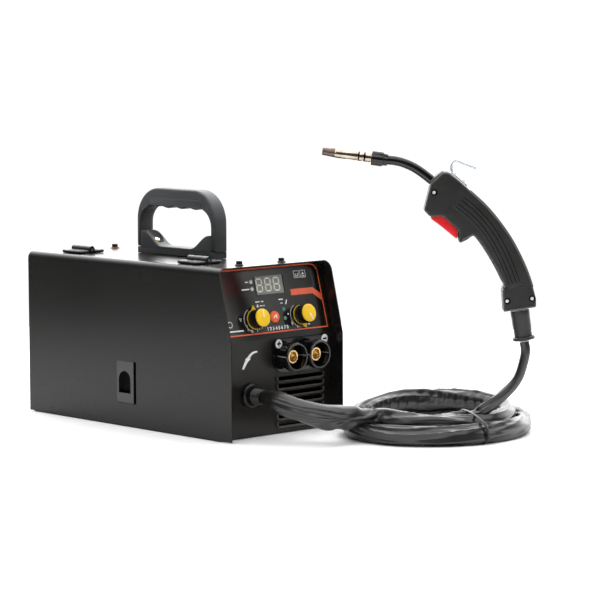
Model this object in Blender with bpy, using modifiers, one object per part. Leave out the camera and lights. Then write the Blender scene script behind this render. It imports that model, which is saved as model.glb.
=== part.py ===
"""MIG welding machine: a sheet-metal cabinet with a hinged side door, a sloped control panel, a carrying
handle, the wire feeder and power unit inside it, and a torch on its coiled hose.

Frame: metres, +Z up. The origin is on the floor under the middle of the cabinet. The control panel faces -Y,
the hinged door faces -X and +X is to the right of someone who faces the control panel."""

import math

import bmesh
import bpy
from mathutils import Matrix, Vector

# ---- cabinet ----
LENGTH = 0.386
WIDTH = 0.183
HEIGHT = 0.205
SHEET = 0.0012
GAP = 0.0003
FOLD_Z = 0.117
LEAN = 0.022
RECESS = 0.020
DOOR_BEND = 0.009
COVER_BEND = 0.012
LEFT = -WIDTH / 2
RIGHT = WIDTH / 2
FRONT = -LENGTH / 2
REAR = LENGTH / 2
PANEL_Y = FRONT + RECESS
PANEL_HALF = WIDTH / 2 - SHEET - 0.0004
REAR_PANEL_Y = REAR - 0.003
DIVIDER_X = -0.0212
SLOPE = math.atan2(LEAN, HEIGHT - FOLD_Z)

# ---- door hinges and latch ----
HINGE_X = -0.057
HINGE_R = 0.0045
HINGE_Z = HEIGHT + GAP + HINGE_R
HINGE_LENGTH = 0.036
HINGE_REACH = 0.020
HINGE_Y = {"front": -0.098, "rear": 0.124}
PIN_R = 0.0018
LATCH_Y = 0.0015
LATCH_Z = 0.055
LATCH_WIDTH = 0.032
LATCH_HEIGHT = 0.0515
LATCH_SLOT = 0.0045

# ---- carrying handle ----
HANDLE_HALF = 0.074
HANDLE_WIDTH = 0.021
HANDLE_TOP = 0.083
LEG = 0.007

# ---- control panel: x across, and the distance up the slope from the fold ----
KNOB_UP = 0.0237
KNOB_X = {"voltage_knob": -0.034, "wire_speed_knob": 0.0415}
KNOB_TURN = {"voltage_knob": math.radians(4), "wire_speed_knob": math.radians(160)}
KNOB_R = 0.011
BUTTON_X, BUTTON_UP, BUTTON_R = 0.001, 0.0248, 0.0072
DISPLAY = (-0.0209, 0.0525, 0.0254, 0.0757)
LAMPS = {"green": (0.0182, (0.0330, 0.0218)), "white": (-0.0272, (0.0694, 0.0607))}
LAMP_R = 0.0026
OVERLAY = 0.0005
BOARD_BACK = 0.0135

# ---- sockets, gland and louvres of the lower front ----
SOCKET_X = {"positive": 0.0138, "negative": 0.0519}
SOCKET_Z = 0.0938
SOCKET_R = 0.0173
SOCKET_OUT = 0.022
CONTACT_R = 0.00875
CONTACT_BORE = 0.0053
GLAND_X, GLAND_Z = -0.0443, 0.051
GLAND_OUT = 0.024
LOUVRES = 7
LOUVRE_TOP, LOUVRE_PITCH, LOUVRE_X0, LOUVRE_X1 = 0.0670, 0.0092, 0.000, 0.0745

# ---- wire feeder ----
WIRE_X = GLAND_X
DRIVE_Y, DRIVE_R = -0.120, 0.015
DRIVE_Z = GLAND_Z - 0.0005 - DRIVE_R
PRESS_R = 0.011
PRESS_Z = GLAND_Z + 0.0005 + PRESS_R
ARM_PIVOT = (-0.147, 0.066)
TENSION_PIVOT = (-0.093, 0.034)
TENSION_REACH = 0.048
TENSION_X = -0.0334
SPOOL_Y, SPOOL_Z, SPOOL_R = 0.075, 0.112, 0.050

# ---- torch hose: its coil lies in front of the cabinet's right front corner ----
TURN = math.radians(43.4)
ACROSS = Vector((math.cos(TURN), -math.sin(TURN), 0))
AWAY = Vector((math.sin(TURN), math.cos(TURN), 0))
CORNER = Vector((RIGHT, FRONT, 0))
HOSE_D = 0.022
COIL_S, COIL_T = 0.1105, -0.041
COIL_TURNS = {"outer": (0.106, 0.0126), "inner": (0.086, 0.0205)}  # radius and height of their middles
COIL_STRETCH = (1.055, 0.945)
TIE_S, TIE_T = 0.1440, -0.0985
TIE_R = 0.00055
TORCH_T = -0.096
TORCH_HALF = 0.0145
# route points: distance across, distance away and height, from the cabinet's right front corner
LEAD_ROUTE = [
    (-0.0790, -0.1140, 0.0505),
    (-0.0640, -0.1250, 0.0460),
    (-0.0430, -0.1315, 0.0390),
    (-0.0180, -0.1330, 0.0325),
    (0.0080, -0.1310, 0.0275),
    (0.0320, -0.1270, 0.0235),
    (0.0560, -0.1230, 0.0185),
]
RISER_ROUTE = [
    (0.0600, -0.0750, 0.0126),
    (0.0780, -0.0880, 0.0140),
    (0.0980, -0.0965, 0.0175),
    (0.1180, -0.1000, 0.0205),
    (0.1360, -0.0995, 0.0225),
    (0.1520, -0.0975, 0.0265),
    (0.1660, -0.0965, 0.0350),
    (0.1786, -0.0957, 0.0450),
    (0.1911, -0.0957, 0.0560),
    (0.2001, -0.0958, 0.0655),
    (0.2066, -0.0960, 0.0760),
    (0.2110, -0.0960, 0.0900),
]

LOOKS = {
    "powder": ((0.018, 0.018, 0.018), 0.42, 0.0),
    "door": ((0.030, 0.030, 0.029), 0.45, 0.0),
    "cast": ((0.015, 0.015, 0.015), 0.38, 0.3),
    "plastic": ((0.030, 0.032, 0.034), 0.50, 0.0),
    "black": ((0.008, 0.008, 0.008), 0.25, 0.0),
    "rubber": ((0.012, 0.012, 0.012), 0.75, 0.0),
    "yellow": ((0.85, 0.60, 0.02), 0.45, 0.0),
    "orange": ((0.80, 0.12, 0.03), 0.45, 0.0),
    "red": ((0.65, 0.02, 0.02), 0.35, 0.0),
    "overlay": ((0.022, 0.020, 0.018), 0.35, 0.0),
    "display": ((0.35, 0.34, 0.28), 0.20, 0.0),
    "board": ((0.02, 0.12, 0.05), 0.55, 0.0),
    "brass": ((0.75, 0.50, 0.18), 0.28, 1.0),
    "steel": ((0.55, 0.55, 0.54), 0.32, 1.0),
    "zinc": ((0.70, 0.74, 0.78), 0.30, 1.0),
    "aluminium": ((0.62, 0.63, 0.64), 0.40, 1.0),
    "copper": ((0.60, 0.28, 0.14), 0.35, 1.0),
    "nylon": ((0.60, 0.60, 0.58), 0.50, 0.0),
    "sheath": ((0.020, 0.020, 0.019), 0.50, 0.0),
}


# ---- scene and objects ----


def clear_scene():
    for obj in list(bpy.data.objects):
        bpy.data.objects.remove(obj, do_unlink=True)


def new_collection(name):
    collection = bpy.data.collections.new(name)
    bpy.context.scene.collection.children.link(collection)
    return collection


clear_scene()
PARTS = new_collection("mig_welding_machine")
CUTTERS = new_collection("cutters")


def material(name, look):
    colour, roughness, metallic = LOOKS[look]
    made = bpy.data.materials.new(name)
    made.use_nodes = True
    shader = made.node_tree.nodes["Principled BSDF"]
    shader.inputs["Base Color"].default_value = (*colour, 1)
    shader.inputs["Roughness"].default_value = roughness
    shader.inputs["Metallic"].default_value = metallic
    return made


def place(name, data, look=None, at=(0, 0, 0), turn=None):
    """Adds an object: a part when it has a look, and a helper, hidden from renders, when it has none."""
    obj = bpy.data.objects.new(name, data)
    obj.matrix_world = Matrix.Translation(Vector(at)) @ (turn.to_4x4() if turn else Matrix())
    if look:
        data.materials.append(material(name, look))
        PARTS.objects.link(obj)
    else:
        CUTTERS.objects.link(obj)
        obj.hide_render = True
        obj.display_type = "WIRE"
    return obj


def mesh_from(bm, name):
    bmesh.ops.recalc_face_normals(bm, faces=bm.faces)
    mesh = bpy.data.meshes.new(name)
    bm.to_mesh(mesh)
    bm.free()
    return mesh


def bevel(obj, width, segments=1, angle=50):
    modifier = obj.modifiers.new("bevel", "BEVEL")
    modifier.width = width
    modifier.segments = segments
    modifier.limit_method = "ANGLE"
    modifier.angle_limit = math.radians(angle)
    return obj


def boolean(obj, operation, others):
    for other in others:
        modifier = obj.modifiers.new(operation.lower(), "BOOLEAN")
        modifier.operation = operation
        modifier.solver = "EXACT"
        modifier.object = other
    return obj


def cut(obj, *cutters):
    return boolean(obj, "DIFFERENCE", cutters)


def join(obj, *others):
    return boolean(obj, "UNION", others)


# ---- shapes ----


def box(name, low, high, look=None, origin=None):
    """A box between two corners. Its origin is its middle, or the point given."""
    low, high = Vector(low), Vector(high)
    middle = (low + high) / 2
    origin = middle if origin is None else Vector(origin)
    bm = bmesh.new()
    bmesh.ops.create_cube(bm, size=1)
    bmesh.ops.scale(bm, vec=high - low, verts=bm.verts)
    bmesh.ops.translate(bm, vec=middle - origin, verts=bm.verts)
    return place(name, mesh_from(bm, name), look, origin)


def toward(direction):
    """The rotation that takes +Z to a direction."""
    return Vector(direction).to_track_quat("Z", "Y").to_matrix()


def rod(name, start, end, radius, look=None, sides=20):
    start, end = Vector(start), Vector(end)
    bm = bmesh.new()
    bmesh.ops.create_cone(
        bm, cap_ends=True, segments=sides, radius1=radius, radius2=radius, depth=(end - start).length
    )
    return place(name, mesh_from(bm, name), look, (start + end) / 2, toward(end - start))


def turned(name, profile, at, direction, look=None, steps=32, closed=False):
    """Turns (radius, height) points about a line. They run down the outer side, from top to bottom."""
    mesh = bpy.data.meshes.new(name)
    count = len(profile)
    edges = [(i, i + 1) for i in range(count - 1)]
    if closed:
        edges.append((count - 1, 0))
    mesh.from_pydata([(radius, 0, height) for radius, height in profile], edges, [])
    obj = place(name, mesh, look, at, toward(direction))
    screw = obj.modifiers.new("turn", "SCREW")
    screw.steps = screw.render_steps = steps
    screw.use_merge_vertices = True
    screw.merge_threshold = 1e-6
    return obj


def circle(radius, x=0.0, y=0.0, sides=20):
    angles = [2 * math.pi * i / sides for i in range(sides)]
    return [(x + radius * math.cos(a), y + radius * math.sin(a)) for a in angles]


def arc(x, y, radius, start, end, sides=6):
    """Points of an arc between two angles in degrees."""
    angles = [math.radians(start + (end - start) * i / sides) for i in range(sides + 1)]
    return [(x + radius * math.cos(a), y + radius * math.sin(a)) for a in angles]


def rectangle(x0, y0, x1, y1, corners=(0, 0, 0, 0), sides=5):
    """A rectangle whose corner radii start at lower left and go round anticlockwise."""
    r0, r1, r2, r3 = corners
    outline = arc(x0 + r0, y0 + r0, r0, 180, 270, sides) if r0 else [(x0, y0)]
    outline += arc(x1 - r1, y0 + r1, r1, 270, 360, sides) if r1 else [(x1, y0)]
    outline += arc(x1 - r2, y1 - r2, r2, 0, 90, sides) if r2 else [(x1, y1)]
    outline += arc(x0 + r3, y1 - r3, r3, 90, 180, sides) if r3 else [(x0, y1)]
    return outline


def as_mesh(curve_obj, name, look):
    """The same object as a mesh, its caps welded to its sides."""
    graph = bpy.context.evaluated_depsgraph_get()
    mesh = bpy.data.meshes.new_from_object(curve_obj.evaluated_get(graph))
    matrix = curve_obj.matrix_world.copy()
    bpy.data.objects.remove(curve_obj, do_unlink=True)
    bm = bmesh.new()
    bm.from_mesh(mesh)
    bmesh.ops.remove_doubles(bm, verts=bm.verts, dist=1e-6)
    bmesh.ops.recalc_face_normals(bm, faces=bm.faces)
    bm.to_mesh(mesh)
    bm.free()
    mesh.materials.clear()
    obj = place(name, mesh, look)
    obj.matrix_world = matrix
    return obj


def plate(name, outlines, thickness, at, turn, look=None):
    """A flat plate with holes: outlines in its own x and y, the first its edge, centred in its thickness."""
    curve = bpy.data.curves.new(name + "_outline", "CURVE")
    curve.dimensions = "2D"
    curve.fill_mode = "BOTH"
    curve.extrude = thickness / 2
    for outline in outlines:
        spline = curve.splines.new("POLY")
        spline.points.add(len(outline) - 1)
        for point, (x, y) in zip(spline.points, outline):
            point.co = (x, y, 0, 1)
        spline.use_cyclic_u = True
    obj = place(name + "_outline", curve, None, at, turn)
    bpy.context.view_layer.update()
    return as_mesh(obj, name, look)


def tube(name, points, radius, look=None, fineness=3, cyclic=False):
    curve = bpy.data.curves.new(name + "_path", "CURVE")
    curve.dimensions = "3D"
    curve.bevel_depth = radius
    curve.bevel_resolution = fineness
    curve.use_fill_caps = True
    spline = curve.splines.new("POLY")
    spline.points.add(len(points) - 1)
    for point, co in zip(spline.points, points):
        point.co = (*co, 1)
    spline.use_cyclic_u = cyclic
    obj = place(name + "_path", curve)
    bpy.context.view_layer.update()
    return as_mesh(obj, name, look)


def smooth_route(points, spacing):
    """Points of a smooth curve (Catmull-Rom) through the route's own points, about a spacing apart."""
    knots = [Vector(p) for p in points]
    knots = [2 * knots[0] - knots[1]] + knots + [2 * knots[-1] - knots[-2]]
    route = []
    for a, b, c, d in zip(knots, knots[1:], knots[2:], knots[3:]):
        steps = max(1, round((c - b).length / spacing))
        for i in range(steps):
            t = i / steps
            route.append(
                b
                + (c - a) * (t / 2)
                + (2 * a - 5 * b + 4 * c - d) * (t * t / 2)
                + (3 * b - a - 3 * c + d) * (t**3 / 2)
            )
    return route + [knots[-2]]


def front_edge(z):
    """The cabinet's front edge, which leans back above the fold."""
    return FRONT + max(0, z - FOLD_Z) / (HEIGHT - FOLD_Z) * LEAN


def bent_sheet(name, path, look):
    """A sheet bent along (x, z) points, running from the cabinet's front edge to its rear, thick inwards."""
    bm = bmesh.new()
    chain = [bm.verts.new((x, front_edge(z), z)) for x, z in path]
    edges = [bm.edges.new(pair) for pair in zip(chain, chain[1:])]
    extruded = bmesh.ops.extrude_edge_only(bm, edges=edges)["geom"]
    for vert in extruded:
        if isinstance(vert, bmesh.types.BMVert):
            vert.co.y = REAR
    mesh = bpy.data.meshes.new(name)
    bm.to_mesh(mesh)
    bm.free()
    obj = place(name, mesh, look)
    solidify = obj.modifiers.new("thickness", "SOLIDIFY")
    solidify.thickness = SHEET
    solidify.offset = -1
    solidify.use_even_offset = True
    return obj


# ---- turns of the panel planes ----

ALONG_X = Matrix(((0, 0, 1), (1, 0, 0), (0, 1, 0)))  # plate x, y -> world y, z, normal +X
FACING_FRONT = Matrix(((1, 0, 0), (0, 0, -1), (0, 1, 0)))  # plate x, y -> world x, z, normal -Y
ON_SLOPE = Matrix.Rotation(-SLOPE, 3, "X") @ FACING_FRONT
FOLD = Vector((0, PANEL_Y, FOLD_Z))
SLOPE_UP = ON_SLOPE @ Vector((0, 1, 0))
SLOPE_OUT = ON_SLOPE @ Vector((0, 0, 1))


def on_slope(x, up, out=0.0):
    """A point over the control panel: across, up from the fold, and out of its front surface."""
    return FOLD + Vector((x, 0, 0)) + SLOPE_UP * up + SLOPE_OUT * out


def hose_point(s, t, z):
    return CORNER + ACROSS * s + AWAY * t + Vector((0, 0, z))


# ---- cabinet ----


def cabinet():
    pan = box("base_pan", (-0.0885, -0.1690, 0), (0.0885, 0.1870, 0.014), "powder")
    cut(pan, box("pan_inside", (-0.0873, -0.1678, SHEET), (0.0873, 0.1858, 0.02)))
    cover_path = [(HINGE_X + GAP, HEIGHT)]
    cover_path += arc(RIGHT - COVER_BEND, HEIGHT - COVER_BEND, COVER_BEND, 90, 0, 7)
    cover_path += [(RIGHT, FOLD_Z), (RIGHT, 0.0010)]
    bent_sheet("top_cover", cover_path[::-1], "powder")
    edge = [(-0.165, 0.0145), (0.186, 0.0145), (0.186, 0.192)]
    edge += [(-0.133, 0.192), (-0.152, 0.118), (-0.165, 0.100)]
    plate(
        "divider_panel",
        [edge, circle(0.0065, DRIVE_Y, DRIVE_Z)],
        SHEET,
        (DIVIDER_X + SHEET / 2, 0, 0),
        ALONG_X,
        "steel",
    )
    rear_panel()


def rear_panel():
    half = PANEL_HALF
    edge = rectangle(-half, 0.0015, half, HEIGHT - 0.0017, (0, 0, COVER_BEND, DOOR_BEND))
    holes = [
        rectangle(0.0425, 0.1645, 0.0675, 0.1795),
        circle(0.0083, 0.020, 0.030),
        circle(0.0068, -0.050, 0.036),
    ]
    for row in range(9):
        z = 0.0685 + row * 0.0094
        reach = math.sqrt(0.043**2 - (z - 0.106) ** 2)
        holes.append(rectangle(0.036 - reach, z - 0.0026, 0.036 + reach, z + 0.0026, (0.002,) * 4, 1))
    plate("rear_panel", [edge, *holes], SHEET, (0, REAR_PANEL_Y, 0), FACING_FRONT, "powder")


def front_panel():
    """The folded panel: an upright lower plate and a leaning upper one, joined along the fold."""
    half = PANEL_HALF
    lower_edge = rectangle(-half, 0.0010, half, FOLD_Z)
    lower_holes = [circle(0.0105, x, SOCKET_Z) for x in SOCKET_X.values()]
    lower_holes.append(circle(0.0098, GLAND_X, GLAND_Z))
    for i in range(LOUVRES):
        z = LOUVRE_TOP - i * LOUVRE_PITCH
        lower_holes.append(rectangle(LOUVRE_X0, z - 0.0026, LOUVRE_X1, z + 0.0020, (0.0015,) * 4, 1))
    panel = plate(
        "front_panel",
        [lower_edge, *lower_holes],
        SHEET,
        (0, PANEL_Y + SHEET / 2, 0),
        FACING_FRONT,
        "powder",
    )
    top = (HEIGHT - FOLD_Z - 0.0022) / math.cos(SLOPE)
    upper_edge = rectangle(-half, -0.0002, half, top, (0, 0, COVER_BEND, DOOR_BEND))
    upper = plate(
        "upper_front",
        [upper_edge, *slope_holes(0.0002)],
        SHEET,
        on_slope(0, 0, -SHEET / 2),
        ON_SLOPE,
    )
    join(panel, upper)


def slope_holes(extra):
    holes = [circle(0.0042 + extra, x, KNOB_UP) for x in KNOB_X.values()]
    holes.append(circle(BUTTON_R + 0.0004 + extra, BUTTON_X, BUTTON_UP))
    x0, y0, x1, y1 = DISPLAY
    holes.append(rectangle(x0 - extra, y0 - extra, x1 + extra, y1 + extra))
    for x, ups in LAMPS.values():
        holes += [circle(LAMP_R + extra, x, up, 12) for up in ups]
    return holes


def control_panel():
    edge = rectangle(-0.0885, 0.0052, 0.0870, 0.0868, (0.001, 0.001, 0.0095, 0.0095))
    plate(
        "panel_overlay",
        [edge, *slope_holes(0.0)],
        OVERLAY,
        on_slope(0, 0, GAP + OVERLAY / 2),
        ON_SLOPE,
        "overlay",
    )
    x0, y0, x1, y1 = DISPLAY
    module = plate(
        "display_module",
        [rectangle(x0 + GAP, y0 + GAP, x1 - GAP, y1 - GAP)],
        0.0095,
        on_slope(0, 0, -0.0045),
        ON_SLOPE,
        "display",
    )
    bevel(module, 0.0004)
    board = plate(
        "control_board",
        [rectangle(-0.062, 0.008, 0.062, 0.080)],
        0.0016,
        on_slope(0, 0, -BOARD_BACK),
        ON_SLOPE,
        "board",
    )
    for name, x in KNOB_X.items():
        body = rod(
            name + "_pot",
            on_slope(x, KNOB_UP, -BOARD_BACK),
            on_slope(x, KNOB_UP, -0.0040),
            0.0080,
        )
        shaft = rod(
            name + "_shaft",
            on_slope(x, KNOB_UP, -0.0050),
            on_slope(x, KNOB_UP, 0.0120),
            0.0030,
            sides=16,
        )
        join(board, body, shaft)
    stem = rod(
        "button_switch",
        on_slope(BUTTON_X, BUTTON_UP, -BOARD_BACK),
        on_slope(BUTTON_X, BUTTON_UP, -0.0065),
        0.0030,
        sides=12,
    )
    join(board, stem)
    turned(
        "mode_button",
        [
            (0, 0.0034),
            (BUTTON_R - 0.0016, 0.0034),
            (BUTTON_R - 0.0004, 0.0028),
            (BUTTON_R, 0.0018),
            (BUTTON_R, -0.0040),
            (0, -0.0040),
        ],
        on_slope(BUTTON_X, BUTTON_UP),
        SLOPE_OUT,
        "orange",
        24,
    )
    for name, x in KNOB_X.items():
        knob(name, x)


def knob(name, x):
    """A knob on its shaft: a skirt with a pointer, a gripped body and a coloured cap."""
    body = turned(
        name,
        [
            (0, 0.0205),
            (KNOB_R - 0.0006, 0.0205),
            (KNOB_R, 0.0199),
            (KNOB_R, 0.0050),
            (0.0122, 0.0046),
            (0.0122, 0.0012),
            (0.0033, 0.0012),
            (0.0033, 0.0125),
            (0, 0.0125),
        ],
        on_slope(x, KNOB_UP),
        SLOPE_OUT,
        "yellow",
        24,
    )
    angle = KNOB_TURN[name]
    tip = [(-0.0030, 0.0105), (0.0030, 0.0105), (0.0, 0.0165)]
    turn = Matrix.Rotation(-angle, 2)
    outline = [tuple(turn @ Vector(p)) for p in tip]
    join(body, plate(name + "_pointer", [outline], 0.0014, on_slope(x, KNOB_UP, 0.0036), ON_SLOPE))


# ---- sockets and gland ----


def sockets():
    bezel_edge = rectangle(-0.0085, 0.0745, 0.0780, 0.1145, (0.018, 0.018, 0.008, 0.008))
    plate(
        "socket_bezel",
        [bezel_edge, *[circle(0.0108, x, SOCKET_Z) for x in SOCKET_X.values()]],
        0.0020,
        (0, PANEL_Y - GAP - 0.0010, 0),
        FACING_FRONT,
        "black",
    )
    for name, x in SOCKET_X.items():
        at = (x, PANEL_Y, SOCKET_Z)
        turned(
            name + "_socket",
            [
                (0.0152, SOCKET_OUT),
                (0.0165, SOCKET_OUT),
                (SOCKET_R, SOCKET_OUT - 0.0008),
                (SOCKET_R, 0.0110),
                (0.0150, 0.0105),
                (0.0150, 0.0026),
                (0.0102, 0.0026),
                (0.0102, -0.0080),
                (CONTACT_R + GAP, -0.0080),
                (CONTACT_R + GAP, 0.0050),
                (0.0142, 0.0050),
            ],
            at,
            (0, -1, 0),
            "black",
            28,
            closed=True,
        )
        turned(
            name + "_contact",
            [
                (CONTACT_BORE, 0.0142),
                (CONTACT_R - 0.0006, 0.0142),
                (CONTACT_R, 0.0136),
                (CONTACT_R, -0.0180),
                (0, -0.0180),
                (0, -0.0080),
                (CONTACT_BORE, -0.0080),
            ],
            at,
            (0, -1, 0),
            "brass",
            20,
            closed=True,
        )
    turned(
        "torch_gland",
        [
            (0, GLAND_OUT),
            (0.0088, GLAND_OUT),
            (0.0094, 0.0200),
            (0.0098, 0.0090),
            (0.0118, 0.0072),
            (0.0138, 0.0062),
            (0.0146, 0.0040),
            (0.0146, 0.0006),
            (0.0094, 0.0006),
            (0.0094, -0.0120),
            (0, -0.0120),
        ],
        (GLAND_X, PANEL_Y, GLAND_Z),
        (0, -1, 0),
        "rubber",
        24,
    )


# ---- door, hinges and latch ----


def door():
    path = [(LEFT, 0.0012), (LEFT, FOLD_Z)]
    path += arc(LEFT + DOOR_BEND, HEIGHT - DOOR_BEND, DOOR_BEND, 180, 90, 6)
    path += [(HINGE_X - GAP, HEIGHT)]
    panel = bent_sheet("side_door", path[::-1], "door")
    y0 = LATCH_Y - LATCH_WIDTH / 2
    y1 = LATCH_Y + LATCH_WIDTH / 2
    z0 = LATCH_Z - LATCH_HEIGHT / 2
    z1 = LATCH_Z + LATCH_HEIGHT / 2
    cut(
        panel,
        box("latch_window", (LEFT - 0.005, y0 - LATCH_SLOT, z0 - GAP), (LEFT + 0.005, y1 + GAP, z1 + GAP)),
    )
    for where, y in HINGE_Y.items():
        hinge(where, y)
    latch(y0, y1, z0, z1)


def hinge(where, y):
    """A butt hinge: the door's leaf holds the middle knuckle, the cover's leaf the two outer ones."""
    y0, y1 = y - HINGE_LENGTH / 2, y + HINGE_LENGTH / 2
    third = HINGE_LENGTH / 3
    z0, z1 = HEIGHT + GAP, HEIGHT + GAP + 0.004
    clear = HINGE_R + 0.0005

    def knuckle(name, start, end, radius):
        return rod(name, (HINGE_X, start, HINGE_Z), (HINGE_X, end, HINGE_Z), radius, sides=16)

    pin_hole = knuckle(f"pin_hole_{where}", y0 - 0.002, y1 + 0.002, PIN_R + 0.0003)
    fixed = box(f"hinge_leaf_cover_{where}", (HINGE_X, y0, z0), (HINGE_X + HINGE_REACH, y1, z1), "cast")
    bevel(fixed, 0.0012)
    for k, (start, end) in enumerate(((y0, y0 + third - GAP), (y1 - third + GAP, y1))):
        join(fixed, knuckle(f"cover_knuckle_{where}_{k}", start, end, HINGE_R))
    cut(fixed, knuckle(f"cover_clear_{where}", y0 + third - GAP, y1 - third + GAP, clear), pin_hole)
    moving = box(f"hinge_leaf_door_{where}", (HINGE_X - HINGE_REACH, y0, z0), (HINGE_X, y1, z1), "cast")
    moving_origin(moving, (HINGE_X, y, HINGE_Z))
    bevel(moving, 0.0012)
    join(moving, knuckle(f"door_knuckle_{where}", y0 + third + GAP, y1 - third - GAP, HINGE_R))
    cut(
        moving,
        knuckle(f"door_clear_{where}_0", y0 - 0.001, y0 + third + GAP, clear),
        knuckle(f"door_clear_{where}_1", y1 - third - GAP, y1 + 0.001, clear),
        pin_hole,
    )
    ends = (HINGE_X, y0 - 0.0006, HINGE_Z), (HINGE_X, y1 + 0.0006, HINGE_Z)
    rod(f"hinge_pin_{where}", *ends, PIN_R, "steel", 12)


def moving_origin(obj, point):
    """Moves an object's origin, and not its mesh, to a point on its joint's axis."""
    matrix = obj.matrix_world.copy()
    shift = matrix.to_3x3().inverted() @ (Vector(point) - matrix.translation)
    obj.data.transform(Matrix.Translation(-shift))
    matrix.translation = Vector(point)
    obj.matrix_world = matrix


def latch(y0, y1, z0, z1):
    """A sprung slide bolt: its plate with a finger cup moves forward in a tray on the inside of the door."""
    back = LEFT + 0.0125
    tray = box(
        "latch_frame",
        (LEFT + SHEET + GAP, y0 - LATCH_SLOT - 0.003, z0 - 0.003),
        (back, y1 + 0.003, z1 + 0.003),
        "plastic",
    )
    cut(
        tray,
        box(
            "latch_frame_inside",
            (LEFT - 0.002, y0 - LATCH_SLOT, z0 - GAP),
            (back - 0.0015, y1 + GAP, z1 + GAP),
        ),
    )
    slider = box("latch_slider", (LEFT - 0.0006, y0, z0), (back - 0.0018, y1, z1), "door")
    bevel(slider, 0.0005)
    cup_edge = arc(0, 0.0025, 0.01125, 0, 180, 10) + [(-0.01125, -0.0135), (0.01125, -0.0135)]
    cut(
        slider,
        plate("finger_cup", [cup_edge], 0.018, (LEFT, LATCH_Y + 0.0007, LATCH_Z), ALONG_X),
    )


# ---- carrying handle ----


def handle():
    top = HEIGHT + GAP
    outer = arc(HANDLE_HALF - 0.040, HANDLE_TOP - 0.040, 0.040, 0, 90, 8)
    outer += arc(-HANDLE_HALF + 0.040, HANDLE_TOP - 0.040, 0.040, 90, 180, 8)
    inner_half = HANDLE_HALF - LEG
    inner = arc(-inner_half + 0.024, 0.0365, 0.024, 180, 95, 6)
    for i in range(13):
        y = -0.036 + 0.072 * i / 12
        inner.append((y, 0.0600 + 0.0010 * math.cos(math.pi * i / 2)))
    inner += arc(inner_half - 0.024, 0.0365, 0.024, 85, 0, 6)
    leg_end = 0.0085
    outline = [(HANDLE_HALF - 0.001, leg_end), *outer]
    outline += [(-HANDLE_HALF + 0.001, leg_end), (-inner_half, leg_end)]
    outline += [*inner, (inner_half, leg_end)]
    grip = plate("handle_grip", [outline], HANDLE_WIDTH, (0, 0, top), ALONG_X, "plastic")
    bevel(grip, 0.0022)
    rise = inner_half - GAP
    saddle = [(-HANDLE_HALF + 0.002, 0), (HANDLE_HALF - 0.002, 0), (HANDLE_HALF - 0.002, leg_end - GAP)]
    saddle += [(rise, leg_end - GAP), (rise, 0.0285)]
    for i in range(9):
        t = i / 8
        saddle.append((rise - 0.004 - 0.036 * t, 0.0105 + 0.0185 * (0.5 + 0.5 * math.cos(math.pi * t))))
    saddle += [(-y, z) for y, z in saddle[:2:-1]] + [(-HANDLE_HALF + 0.002, leg_end - GAP)]
    base = plate("handle_base", [saddle], HANDLE_WIDTH + 0.001, (0, 0, top), ALONG_X, "plastic")
    bevel(base, 0.0010)


# ---- wire feeder ----


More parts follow.
